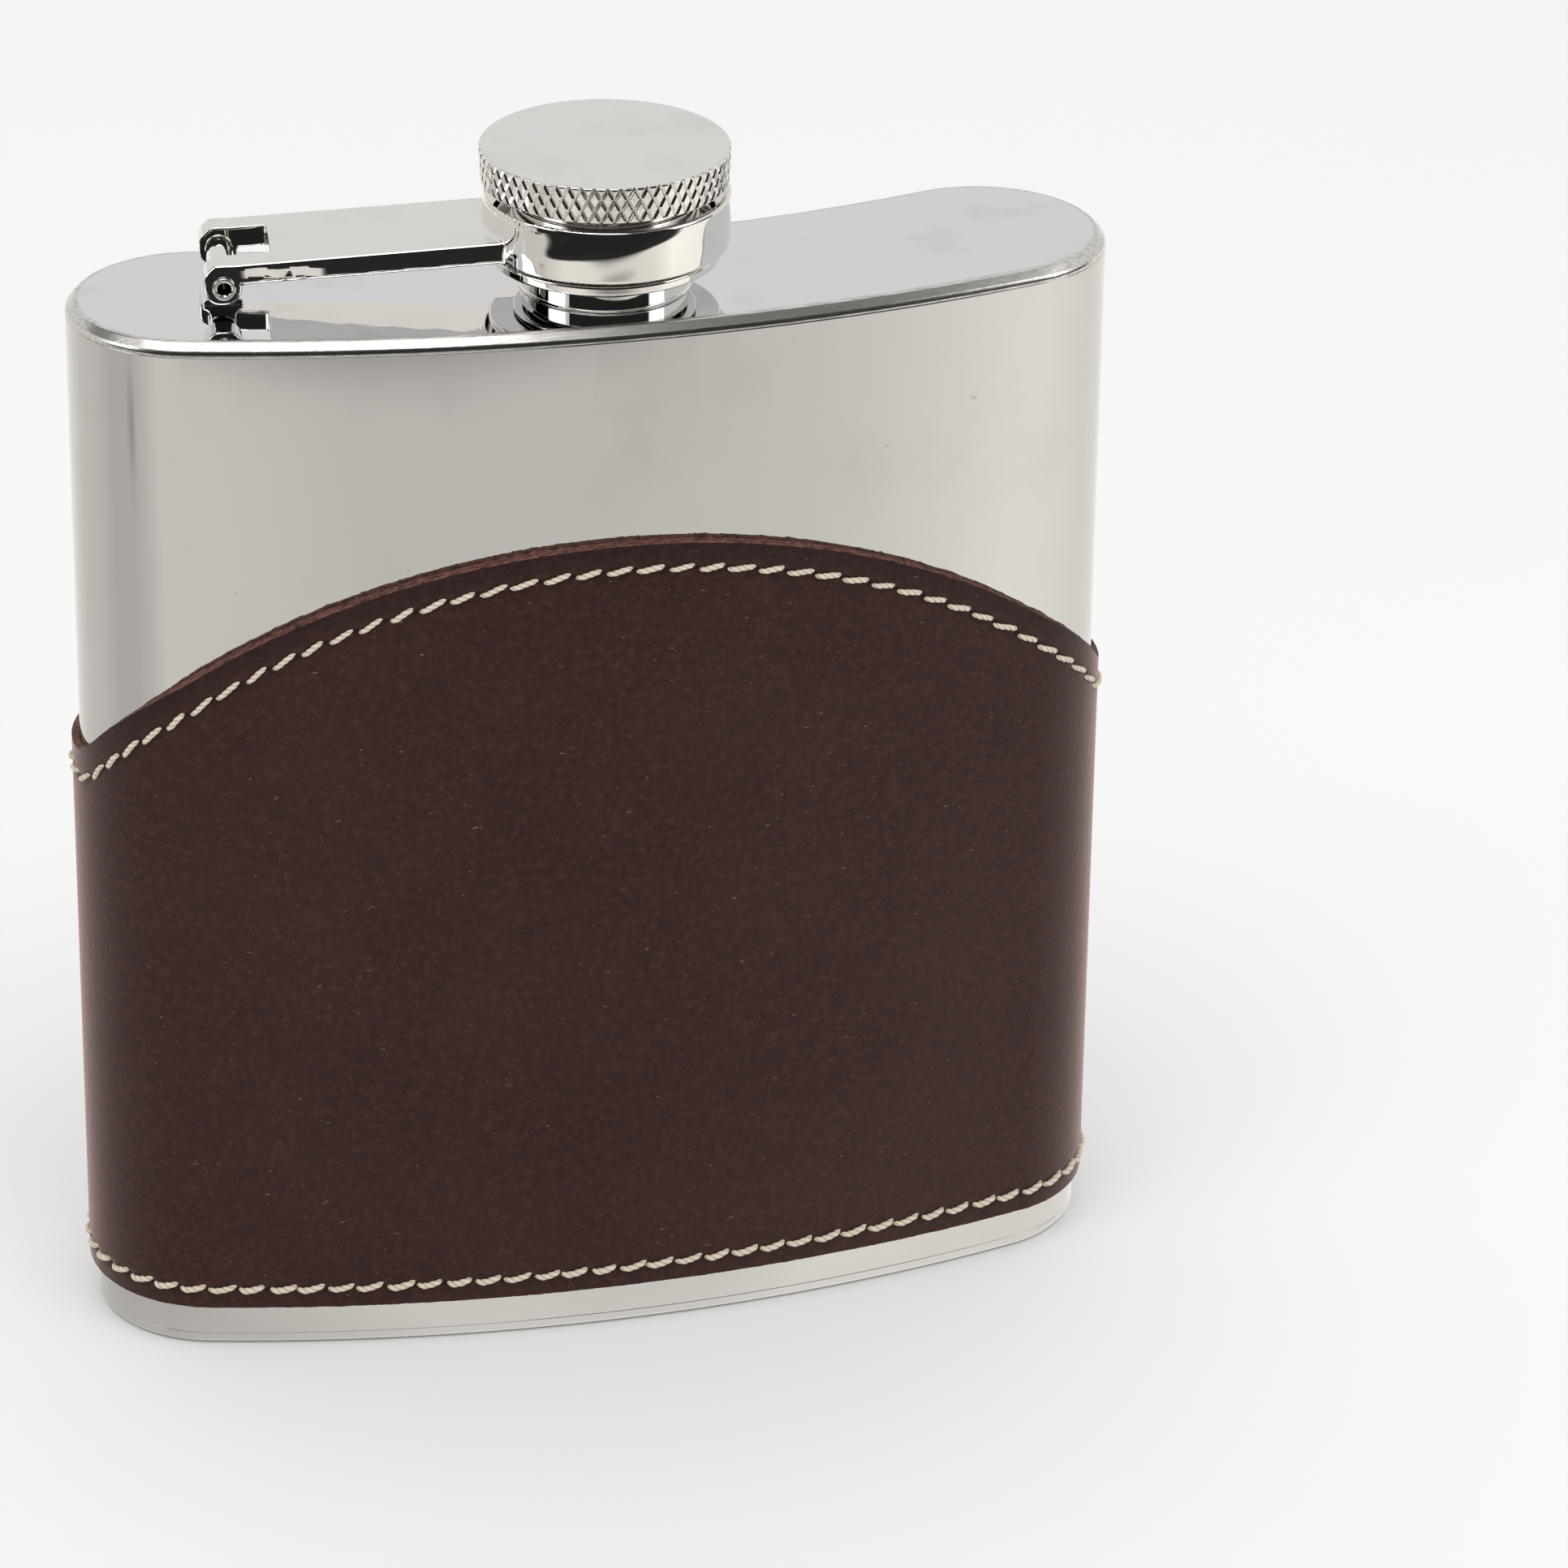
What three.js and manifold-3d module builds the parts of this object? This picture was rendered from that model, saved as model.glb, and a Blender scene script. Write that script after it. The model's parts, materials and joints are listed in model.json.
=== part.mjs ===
// A 6 oz hip flask: a curved steel body, a captive screw cap on a hinged arm, and a stitched leather
// wrap. Millimetres, +Z up. The origin is on the base plane, in the middle of the object's box. The
// body's section is a kidney that bows towards -Y, and +X points away from the hinge.
import * as THREE from "three";
import { mergeVertices } from "three/addons/utils/BufferGeometryUtils.js";
import Module from "manifold-3d";

const wasm = await Module();
wasm.setup();

// ---- driving dimensions ----

// Body section: a convex front arc and a concave back arc, joined by two round ends.
const BODY_WIDTH = 92;
const END_RADIUS = 10.9;
const FRONT_RADIUS = 151;
const BACK_RADIUS = 126;
const BODY_HEIGHT = 97.6;
const WALL_THICKNESS = 0.8;
const PLATE_THICKNESS = 1.2;
const TOP_EDGE_ROUND = 1.0;
const BOTTOM_EDGE_ROUND = 0.7;

// Neck: a welded boss with a thinner threaded spout above it. Its thread is left smooth here.
const NECK_BORE_RADIUS = 4.8;
const NECK_SPIGOT_RADIUS = 6.6;
const NECK_HOLE_RADIUS = 6.9;
const NECK_BOSS_RADIUS = 7.3;
const NECK_BOSS_HEIGHT = 1.6;
const NECK_THREAD_RADIUS = 6.1;
const NECK_HEIGHT = 7.4;
const NECK_SPIGOT_DEPTH = 1.8;
const NECK_CHAMFER = 0.5;

// Cap: a knurled head pressed on a threaded insert, with a soft gasket under the insert's ceiling.
const HEAD_RADIUS = 10.8;
const HEAD_BOTTOM = 107.05;
const HEAD_TOP = 110.2;
const HEAD_WALL = 1.1;
const HEAD_CHAMFER = 0.25;
const INSERT_FLANGE_THICKNESS = 1.5;
const SKIRT_OUTER_RADIUS = 7.9;
const SKIRT_INNER_RADIUS = 6.65;
const SKIRT_BOTTOM = 99.5;
const INSERT_CEILING = 106.4;
const GASKET_RADIUS = 6.2;
const GASKET_THICKNESS = 0.8;

// Retaining ring: snaps into a groove near the skirt's lower end and keeps the cap on the arm.
const RING_BOTTOM = 100.1;
const RING_TOP = 101.1;
const RING_OUTER_RADIUS = 10.0;
const RING_INNER_RADIUS = 7.75;
const GROOVE_RADIUS = 7.45;

// Cap arm: one casting, with a flat bar, a fork with two ears at the hinge and a drum round the cap.
const HINGE_X = -32.6;
const HINGE_Y = 2.1;
const PIN_HEIGHT = 2.75; // above the top plate
const ARM_WIDTH = 11.4;
const ARM_TOP_AT_HINGE = 2.0; // above the pin's axis
const ARM_THICKNESS = 1.9;
const ARM_SLOPE = THREE.MathUtils.degToRad(3);
const FORK_SLOT_WIDTH = 6.2;
const FORK_SLOT_END = 4.05; // from the pin's axis
const EAR_RADIUS = 1.75;
const DRUM_RADIUS = 10.85;
const DRUM_BOTTOM = 101.5;
const DRUM_TOP = 106.15;
const DRUM_WALL = 0.6;
const DRUM_WEB_BOTTOM = 104.5;
const DRUM_WEB_TOP = 105.5;
const DRUM_WEB_HOLE_RADIUS = 8.25;

// Hinge: a lug on the top plate, and a tubular pin with a rolled rim at each end.
const LUG_DEPTH = 5.4;
const LUG_RADIUS = 1.2;
const LUG_FOOT_HALF_WIDTH = 1.7;
const LUG_FOOT_HEIGHT = 0.5;
const PIN_RADIUS = 0.65;
const PIN_HOLE_RADIUS = 0.8;
const PIN_RIM_RADIUS = 1.05;
const PIN_RIM_THICKNESS = 0.2;
const PIN_END_HOLLOW_RADIUS = 0.42;
const PIN_END_HOLLOW_DEPTH = 1.4;

// Leather wrap: a band glued round the body. Its lower edge is straight. Its upper edge is an arch across the
// front and straight round the back, level with the arch's two ends.
const GLUE_GAP = 0.15;
const LEATHER_THICKNESS = 0.85;
const LEATHER_BOTTOM = 4.35;
const ARCH_TOP = 77.9;
const ARCH_RADIUS = 64;
const SEAM_GAP = 0.3;
const STITCH_INSET = 2.4;
const STITCH_BAND = 0.6;
const BOTTOM_STITCH_INSET = 2.0;
const THREAD_PROUD = 0.2;

const CLEARANCE = 0.3; // between pieces that touch or turn on each other
const SMALL_GAP = 0.1; // between the thread and the leather it lies on
const ARC_SEGMENTS = 12; // per arc of the section; three.js draws twice as many chords
const EDGE_SEGMENTS = 3; // across a plate's rounded edge
const ROUND_SEGMENTS = 64; // round the cap and neck
const PIN_SEGMENTS = 24;
const REACH = 200; // the length of a cutting block, longer than the object

// ---- worked out from them ----

const endX = BODY_WIDTH / 2 - END_RADIUS;
const frontRise = Math.sqrt((FRONT_RADIUS - END_RADIUS) ** 2 - endX ** 2);
const backRise = Math.sqrt((BACK_RADIUS + END_RADIUS) ** 2 - endX ** 2);
const frontBow = FRONT_RADIUS - frontRise; // from the end centres to the middle of the front
const backBow = backRise - BACK_RADIUS; // from the end centres to the middle of the back
const endY = (frontBow - END_RADIUS) / 2; // puts the section's box in the middle of Y
const capY = endY + (backBow - frontBow) / 2; // middle of the thickness, where the neck stands
const wallTop = BODY_HEIGHT - PLATE_THICKNESS;
const pinZ = BODY_HEIGHT + PIN_HEIGHT;
const neckTop = BODY_HEIGHT + NECK_HEIGHT;
const armLength = Math.hypot(HINGE_X, HINGE_Y - capY);
const armYaw = Math.atan2(capY - HINGE_Y, -HINGE_X);
const leatherInner = GLUE_GAP;
const leatherOuter = GLUE_GAP + LEATHER_THICKNESS;
const threadInner = leatherOuter + SMALL_GAP;
const threadOuter = threadInner + THREAD_PROUD;

// ---- materials ----

function material(color, roughness, metalness) {
  return new THREE.MeshStandardMaterial({ color, roughness, metalness });
}

const polishedSteel = material(0xc9c8c4, 0.12, 1);
const brushedSteel = material(0xbdbcb8, 0.3, 1);
const chrome = material(0xd2cfc8, 0.06, 1);
const leather = material(0x3d2a28, 0.55, 0);
const thread = material(0xd8cfb8, 0.8, 0);
const rubber = material(0xd9d6cd, 0.6, 0);

// ---- geometry helpers ----

function solidOf(geometry) {
  const bare = geometry.clone();
  bare.deleteAttribute("normal");
  bare.deleteAttribute("uv");
  const merged = mergeVertices(bare, 1e-4);
  return new wasm.Manifold(
    new wasm.Mesh({
      numProp: 3,
      vertProperties: merged.attributes.position.array,
      triVerts: new Uint32Array(merged.index.array),
    }),
  );
}

function geometryOf(solid) {
  const made = solid.getMesh();
  const geometry = new THREE.BufferGeometry();
  geometry.setAttribute("position", new THREE.BufferAttribute(made.vertProperties, 3));
  geometry.setIndex(new THREE.BufferAttribute(made.triVerts, 1));
  const faceted = geometry.toNonIndexed();
  faceted.computeVertexNormals();
  return faceted;
}

function mesh(name, geometry, finish) {
  const made = new THREE.Mesh(geometry, finish);
  made.name = name;
  return made;
}

// A box from its lowest and highest corners.
function box(low, high) {
  const size = high.map((value, i) => value - low[i]);
  const middle = high.map((value, i) => (value + low[i]) / 2);
  return solidOf(new THREE.BoxGeometry(...size).translate(...middle));
}

// A turned solid from [radius, height] points. A profile that leaves the axis is closed on itself.
function turned(profile, segments = ROUND_SEGMENTS) {
  const points = profile.map(([radius, height]) => new THREE.Vector2(radius, height));
  if (points[0].x > 0) {
    points.push(points[0].clone());
  }
  return new THREE.LatheGeometry(points, segments).rotateX(Math.PI / 2);
}

function rod(radius, low, high, segments) {
  return turned([[0, low], [radius, low], [radius, high], [0, high]], segments);
}

// The body's outline seen from above, moved outwards by grow.
function sectionPath(grow) {
  const frontTilt = Math.atan2(-frontRise, endX);
  const backTilt = Math.atan2(-backRise, endX);
  const end = END_RADIUS + grow;
  const path = new THREE.Shape();
  path.absarc(0, endY + frontRise, FRONT_RADIUS + grow, -Math.PI - frontTilt, frontTilt, false);
  path.absarc(endX, endY, end, frontTilt, Math.PI + backTilt, false);
  path.absarc(0, endY + backRise, BACK_RADIUS - grow, backTilt, -Math.PI - backTilt, true);
  path.absarc(-endX, endY, end, -backTilt, Math.PI - frontTilt, false);
  return path;
}

function upright(shape, low, high) {
  const depth = high - low;
  const settings = { depth, bevelEnabled: false, curveSegments: ARC_SEGMENTS };
  return new THREE.ExtrudeGeometry(shape, settings).translate(0, 0, low);
}

// A closed band that follows the body, between two offsets of its outline.
function sectionBand(inner, outer, low, high) {
  const shape = sectionPath(outer);
  shape.holes.push(sectionPath(inner));
  return solidOf(upright(shape, low, high));
}

// A plate the size of the body, with one edge rounded: the upper one, or the lower one.
function roundedPlate(low, high, round, upperEdge) {
  const bevel = {
    bevelEnabled: true,
    bevelThickness: round,
    bevelSize: round,
    bevelOffset: -round,
    bevelSegments: EDGE_SEGMENTS,
    curveSegments: ARC_SEGMENTS,
  };
  const depth = 2 * (high - low) - 2 * round;
  const start = upperEdge ? 2 * low - high + round : low + round;
  const both = new THREE.ExtrudeGeometry(sectionPath(0), { depth, ...bevel }).translate(0, 0, start);
  return solidOf(both).intersect(box([-REACH, -REACH, low], [REACH, REACH, high]));
}

// Everything below an arch across the front and a straight line round the back, for cutting the leather and
// its stitches.
function underArch(top, radius) {
  const wrapHalf = BODY_WIDTH / 2 + leatherOuter;
  const backHeight = top - radius + Math.sqrt(radius ** 2 - wrapHalf ** 2);
  const back = box([-REACH, endY, 0], [REACH, REACH, backHeight]);
  const half = BODY_WIDTH / 2 + 2 * leatherOuter;
  const reach = Math.asin(half / radius);
  const shape = new THREE.Shape();
  shape.absarc(0, top - radius, radius, Math.PI / 2 - reach, Math.PI / 2 + reach, false);
  shape.lineTo(-half, 0);
  shape.lineTo(half, 0);
  const settings = { depth: REACH, bevelEnabled: false, curveSegments: 2 * ARC_SEGMENTS };
  const geometry = new THREE.ExtrudeGeometry(shape, settings);
  return solidOf(geometry.rotateX(Math.PI / 2).translate(0, endY, 0)).add(back);
}

// ---- flask ----

function bodyWall() {
  const tube = sectionBand(-WALL_THICKNESS, 0, PLATE_THICKNESS, wallTop);
  return mesh("body_wall", geometryOf(tube), polishedSteel);
}

function topPlate() {
  const hole = solidOf(rod(NECK_HOLE_RADIUS, 0, REACH).translate(0, capY, 0));
  const plate = roundedPlate(wallTop, BODY_HEIGHT, TOP_EDGE_ROUND, true).subtract(hole);
  return mesh("top_plate", geometryOf(plate), polishedSteel);
}

function bottomPlate() {
  const plate = roundedPlate(0, PLATE_THICKNESS, BOTTOM_EDGE_ROUND, false);
  return mesh("bottom_plate", geometryOf(plate), polishedSteel);
}

function neck() {
  const bossTop = BODY_HEIGHT + NECK_BOSS_HEIGHT;
  const profile = [
    [NECK_BORE_RADIUS, BODY_HEIGHT - NECK_SPIGOT_DEPTH],
    [NECK_SPIGOT_RADIUS, BODY_HEIGHT - NECK_SPIGOT_DEPTH],
    [NECK_SPIGOT_RADIUS, BODY_HEIGHT],
    [NECK_BOSS_RADIUS, BODY_HEIGHT],
    [NECK_BOSS_RADIUS, bossTop],
    [NECK_THREAD_RADIUS, bossTop],
    [NECK_THREAD_RADIUS, neckTop - NECK_CHAMFER],
    [NECK_THREAD_RADIUS - NECK_CHAMFER, neckTop],
    [NECK_BORE_RADIUS, neckTop],
  ];
  return mesh("neck", turned(profile), polishedSteel);
}

// ---- hinge, in a frame on the pin's axis with +X along the arm ----

function besideHinge(shape, width) {
  const settings = { depth: width, bevelEnabled: false, curveSegments: ARC_SEGMENTS };
  const geometry = new THREE.ExtrudeGeometry(shape, settings);
  return geometry.rotateX(Math.PI / 2).translate(0, width / 2, 0);
}

function hingeLug() {
  const footTop = LUG_FOOT_HEIGHT - PIN_HEIGHT;
  const shape = new THREE.Shape();
  shape.absarc(0, 0, LUG_RADIUS, 0, Math.PI, false);
  shape.quadraticCurveTo(-LUG_RADIUS, footTop, -LUG_FOOT_HALF_WIDTH, footTop);
  shape.lineTo(-LUG_FOOT_HALF_WIDTH, -PIN_HEIGHT);
  shape.lineTo(LUG_FOOT_HALF_WIDTH, -PIN_HEIGHT);
  shape.lineTo(LUG_FOOT_HALF_WIDTH, footTop);
  shape.quadraticCurveTo(LUG_RADIUS, footTop, LUG_RADIUS, 0);
  const hole = new THREE.Path();
  hole.absarc(0, 0, PIN_HOLE_RADIUS, 0, 2 * Math.PI, true);
  shape.holes.push(hole);
  return mesh("hinge_lug", besideHinge(shape, LUG_DEPTH), polishedSteel);
}

function hingePin() {
  const face = ARM_WIDTH / 2 + SMALL_GAP;
  const tip = face + PIN_RIM_THICKNESS;
  const hollow = tip - PIN_END_HOLLOW_DEPTH;
  const profile = [
    [0, -hollow],
    [PIN_END_HOLLOW_RADIUS, -hollow],
    [PIN_END_HOLLOW_RADIUS, -tip],
    [PIN_RIM_RADIUS, -tip],
    [PIN_RIM_RADIUS, -face],
    [PIN_RADIUS, -face],
    [PIN_RADIUS, face],
    [PIN_RIM_RADIUS, face],
    [PIN_RIM_RADIUS, tip],
    [PIN_END_HOLLOW_RADIUS, tip],
    [PIN_END_HOLLOW_RADIUS, hollow],
    [0, hollow],
  ];
  return mesh("hinge_pin", turned(profile, PIN_SEGMENTS).rotateX(Math.PI / 2), chrome);
}

// The bar's side view: sloping faces, and a hinge end rounded down to the ears.
function armBar() {
  const rise = Math.tan(ARM_SLOPE);
  const top = (x) => ARM_TOP_AT_HINGE + rise * x;
  const bottom = (x) => top(x) - ARM_THICKNESS;
  const end = armLength - DRUM_RADIUS / 2; // past the drum's wall, which cuts it to length
  const shape = new THREE.Shape();
  shape.moveTo(end, bottom(end));
  shape.lineTo(end, top(end));
  shape.lineTo(-EAR_RADIUS / 2, top(-EAR_RADIUS / 2));
  shape.quadraticCurveTo(-EAR_RADIUS, top(-EAR_RADIUS), -EAR_RADIUS, 0);
  shape.lineTo(0, 0);
  shape.lineTo(0, bottom(0));
  return solidOf(besideHinge(shape, ARM_WIDTH));
}

function drumProfile() {
  const inner = DRUM_RADIUS - DRUM_WALL;
  return [
    [inner, DRUM_BOTTOM],
    [DRUM_RADIUS, DRUM_BOTTOM],
    [DRUM_RADIUS, DRUM_TOP],
    [inner, DRUM_TOP],
    [inner, DRUM_WEB_TOP],
    [DRUM_WEB_HOLE_RADIUS, DRUM_WEB_TOP],
    [DRUM_WEB_HOLE_RADIUS, DRUM_WEB_BOTTOM],
    [inner, DRUM_WEB_BOTTOM],
  ];
}

function capArm() {
  const acrossPin = (radius, half) => solidOf(rod(radius, -half, half, PIN_SEGMENTS).rotateX(Math.PI / 2));
  const intoArm = (geometry) => solidOf(geometry.translate(armLength, 0, -pinZ));
  const drum = intoArm(turned(drumProfile()));
  const drumInside = intoArm(rod(DRUM_RADIUS - DRUM_WALL / 2, 0, REACH));
  const slotHalf = FORK_SLOT_WIDTH / 2;
  const slot = box([-REACH, -slotHalf, -REACH], [FORK_SLOT_END, slotHalf, REACH]);
  const bar = armBar().subtract(drumInside);
  const ears = acrossPin(EAR_RADIUS, ARM_WIDTH / 2);
  const pinHole = acrossPin(PIN_HOLE_RADIUS, ARM_WIDTH);
  const casting = bar.add(ears).subtract(slot).subtract(pinHole).add(drum);
  return mesh("cap_arm", geometryOf(casting), chrome);
}

function hinge() {
  const group = new THREE.Group();
  group.position.set(HINGE_X, HINGE_Y, pinZ);
  group.rotation.z = armYaw;
  group.add(hingeLug(), hingePin(), capArm());
  return group;
}

// ---- cap, in a frame on the neck's axis ----

function capHead() {
  const innerRadius = HEAD_RADIUS - HEAD_WALL;
  const profile = [
    [0, HEAD_TOP - HEAD_WALL],
    [innerRadius, HEAD_TOP - HEAD_WALL],
    [innerRadius, HEAD_BOTTOM],
    [HEAD_RADIUS - HEAD_CHAMFER, HEAD_BOTTOM],
    [HEAD_RADIUS, HEAD_BOTTOM + HEAD_CHAMFER],
    [HEAD_RADIUS, HEAD_TOP - HEAD_CHAMFER],
    [HEAD_RADIUS - HEAD_CHAMFER, HEAD_TOP],
    [0, HEAD_TOP],
  ];
  return mesh("cap_head", turned(profile), brushedSteel);
}

function capInsert() {
  const flangeTop = HEAD_TOP - HEAD_WALL - CLEARANCE;
  const flangeBottom = flangeTop - INSERT_FLANGE_THICKNESS;
  const flangeRadius = HEAD_RADIUS - HEAD_WALL - CLEARANCE;
  const profile = [
    [0, INSERT_CEILING],
    [SKIRT_INNER_RADIUS, INSERT_CEILING],
    [SKIRT_INNER_RADIUS, SKIRT_BOTTOM],
    [SKIRT_OUTER_RADIUS, SKIRT_BOTTOM],
    [SKIRT_OUTER_RADIUS, RING_BOTTOM - CLEARANCE],
    [GROOVE_RADIUS, RING_BOTTOM - CLEARANCE],
    [GROOVE_RADIUS, RING_TOP + CLEARANCE],
    [SKIRT_OUTER_RADIUS, RING_TOP + CLEARANCE],
    [SKIRT_OUTER_RADIUS, flangeBottom],
    [flangeRadius, flangeBottom],
    [flangeRadius, flangeTop],
    [0, flangeTop],
  ];
  return mesh("cap_insert", turned(profile), brushedSteel);
}

function capGasket() {
  const top = INSERT_CEILING - CLEARANCE;
  return mesh("cap_gasket", rod(GASKET_RADIUS, top - GASKET_THICKNESS, top), rubber);
}

function retainingRing() {
  const profile = [
    [RING_INNER_RADIUS, RING_BOTTOM],
    [RING_OUTER_RADIUS, RING_BOTTOM],
    [RING_OUTER_RADIUS, RING_TOP],
    [RING_INNER_RADIUS, RING_TOP],
  ];
  return mesh("retaining_ring", turned(profile), chrome);
}

function neckAndCap() {
  const group = new THREE.Group();
  group.position.set(0, capY, 0);
  group.add(neck(), retainingRing(), capInsert(), capGasket(), capHead());
  return group;
}

// ---- leather wrap and its stitches ----

function leatherWrap() {
  const band = sectionBand(leatherInner, leatherOuter, LEATHER_BOTTOM, BODY_HEIGHT);
  const seam = box([-SEAM_GAP / 2, 0, 0], [SEAM_GAP / 2, REACH, REACH]);
  const wrap = band.intersect(underArch(ARCH_TOP, ARCH_RADIUS)).subtract(seam);
  return mesh("leather_wrap", geometryOf(wrap), leather);
}

function topStitching() {
  const top = ARCH_TOP - STITCH_INSET + STITCH_BAND / 2;
  const radius = ARCH_RADIUS - STITCH_INSET + STITCH_BAND / 2;
  const band = sectionBand(threadInner, threadOuter, LEATHER_BOTTOM, ARCH_TOP);
  const lower = underArch(top - STITCH_BAND, radius - STITCH_BAND);
  const row = band.intersect(underArch(top, radius)).subtract(lower);
  return mesh("top_stitching", geometryOf(row), thread);
}

function bottomStitching() {
  const middle = LEATHER_BOTTOM + BOTTOM_STITCH_INSET;
  const half = STITCH_BAND / 2;
  const row = sectionBand(threadInner, threadOuter, middle - half, middle + half);
  return mesh("bottom_stitching", geometryOf(row), thread);
}

// ---- the flask ----

const flask = new THREE.Group();
flask.add(bodyWall(), topPlate(), bottomPlate(), hinge(), neckAndCap());
flask.add(leatherWrap(), topStitching(), bottomStitching());

export default flask;
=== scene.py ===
"""The looks of a hip flask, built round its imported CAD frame.

Every piece is made in mesh code, in millimetres in the row frame, and turned into metres at the end.
The steel body's outline is five arcs. A place on it is a distance t along the outline from the middle
of the back, and a distance grow outwards from it.
"""
import json
import math

import bpy
import numpy as np
from mathutils import Matrix, Vector


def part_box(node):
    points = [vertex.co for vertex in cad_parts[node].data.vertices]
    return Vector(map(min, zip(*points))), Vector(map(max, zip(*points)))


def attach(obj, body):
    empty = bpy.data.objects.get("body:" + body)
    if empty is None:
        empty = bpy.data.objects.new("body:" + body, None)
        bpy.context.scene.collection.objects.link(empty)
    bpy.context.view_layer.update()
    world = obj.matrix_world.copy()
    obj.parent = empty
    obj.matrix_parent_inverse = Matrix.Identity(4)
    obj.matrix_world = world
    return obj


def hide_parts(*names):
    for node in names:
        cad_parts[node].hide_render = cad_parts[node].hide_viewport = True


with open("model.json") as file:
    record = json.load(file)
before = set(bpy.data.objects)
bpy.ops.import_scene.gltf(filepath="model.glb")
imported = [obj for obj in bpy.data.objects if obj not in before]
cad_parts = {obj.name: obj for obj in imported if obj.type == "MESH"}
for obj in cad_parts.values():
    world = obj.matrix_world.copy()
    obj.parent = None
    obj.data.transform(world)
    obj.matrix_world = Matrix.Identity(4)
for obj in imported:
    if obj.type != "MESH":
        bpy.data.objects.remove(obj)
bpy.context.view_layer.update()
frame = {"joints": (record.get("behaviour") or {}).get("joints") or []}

MM = 0.001
UP = np.array([0.0, 0.0, 1.0])


def box_mm(node):
    """A CAD node's lowest and highest corners in millimetres."""
    return [np.array(corner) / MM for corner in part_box(node)]


# ---- driving dimensions, in millimetres ----

wall_low, wall_high = box_mm("body_wall")
plate_high = box_mm("top_plate")[1]
base_low = box_mm("bottom_plate")[0]
neck_low, neck_high = box_mm("neck")
head_low, head_high = box_mm("cap_head")
insert_low, insert_high = box_mm("cap_insert")
gasket_low, gasket_high = box_mm("cap_gasket")
ring_low, ring_high = box_mm("retaining_ring")
leather_low, leather_high = box_mm("leather_wrap")

BODY_WIDTH = wall_high[0] - wall_low[0]
BODY_HEIGHT = plate_high[2]
END_RADIUS = 10.9
FRONT_RADIUS = 151.0
BACK_RADIUS = 126.0
WALL = 0.8
TOP_ROUND = 1.0
BASE_ROUND = 0.7
SEAM_CHAMFER = 0.09
BASE_CHAMFER = 0.05
RIM_REACH = 0.12  # how far the dressed rim runs on past its rounding
# The rim's bevel and the rounds at its two edges, as shares of the plate's rounding.
RIM_DROP = 0.8
RIM_RUN = 0.75
RIM_SIDE_ROUND = 0.7
RIM_TOP_ROUND = 0.45

NECK_BORE = 4.8
NECK_SPIGOT = 6.6
NECK_HOLE = 6.9
NECK_BOSS = 7.3
NECK_BOSS_TOP = BODY_HEIGHT + 1.6
NECK_ROOT = 6.05
THREAD_PITCH = 1.5
THREAD_DEPTH = 0.42
THREAD_FLAT = 0.25  # the share of the wave that is cut flat at the thread's crest and root

HEAD_RADIUS = (head_high[0] - head_low[0]) / 2
HEAD_WALL = 1.1
KNURLS = 60
KNURL_LEAN = math.radians(29)
KNURL_DEPTH = 0.175
KNURL_HALF_WIDTH = 0.19
KNURL_TAPER = 0.05  # how much the wheel bites deeper for each millimetre down
KNURL_START = 0.22  # the knurl begins this far in from the cap's radius, and is full after the fade
KNURL_FADE = 0.2
KNURL_STEPS = 22  # columns of the mesh for each knurl
KNURL_ROWS = 42
HEAD_LOW_ROUND = 0.16
HEAD_TOP_ROUND = 0.2

SKIRT_OUTER = 7.9
SKIRT_INNER = 6.65
GROOVE_RADIUS = 7.45
RING_INNER = 7.75
RING_GAP = 0.3
GASKET_RECESS = 0.12
INSERT_CEILING = 106.4
INSERT_FLANGE = 1.5

ARM_WIDTH = 11.4
ARM_TOP_AT_HINGE = 2.0
ARM_THICKNESS = 1.9
ARM_SLOPE = math.radians(3)
SLOT_HALF_WIDTH = 3.1
SLOT_END = 4.05
EAR_RADIUS = 1.75
DRUM_RADIUS = 10.85
DRUM_BOTTOM = 101.5
DRUM_TOP = 106.15
DRUM_WALL = 0.6
WEB_BOTTOM = 104.5
WEB_TOP = 105.5
WEB_HOLE = 8.25
DRUM_TAPER = 0.02  # how much the drum narrows for each millimetre down
DRUM_PRESS = 0.16  # how far the drum's upper band is pressed in
PRESS_SOFTNESS = 0.1
FLANK_DRAFT = 0.06  # how much the bar's flanks lean in for each millimetre up
POLISH_DIP = 0.19  # how much a worn patch of the flanks near the hinge leans the other way
POLISH_MIDDLE = 5.0
POLISH_REACH = 3.6
RIPPLE = 0.002  # the unevenness that hand polishing leaves
PIN_HOLE = 0.8
PIN_RADIUS = 0.65
PIN_BORE = 0.42
PIN_BORE_END = 1.0
PIN_ROLL = 1.0  # the radius of the pin's rolled ends
LUG_DEPTH = 5.4
LUG_RADIUS = 1.2
LUG_FOOT_HALF_WIDTH = 1.7

GLUE_GAP = 0.02
LEATHER_OFFSET = 1.0
END_PULL = 0.3  # how much thinner the hide is where it is drawn round the two ends
LEATHER_BOTTOM = leather_low[2]
ARCH_TOP = leather_high[2]
ARCH_RADIUS = 67.0
ARCH_TILT = 0.0216  # how much higher the hand-cut arch sits for each millimetre to the left
BACK_EDGE = 56.5
EDGE_BLEND = 0.9  # how gradually the arch runs into the back edge
EDGE_ROUND = 0.1  # how far the hide's flat face stops short of its cut edges
FINE_BAND = 4.2  # the width of the closely meshed bands that hold the stitches
SEAM_GAP = 0.3
TOP_STITCH_INSET = 2.4
BASE_STITCH_INSET = 2.0
STITCH_LENGTH = 2.26
TOP_STITCH_RADIUS = 0.245
BASE_STITCH_RADIUS = 0.28
TOP_STITCH_PITCH = 2.75
BASE_STITCH_PITCH = 2.65
STITCH_STANDS = 0.42  # how high a stitch's middle lies over the leather, in radii of the thread
STITCH_DIVES = 1.3
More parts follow.
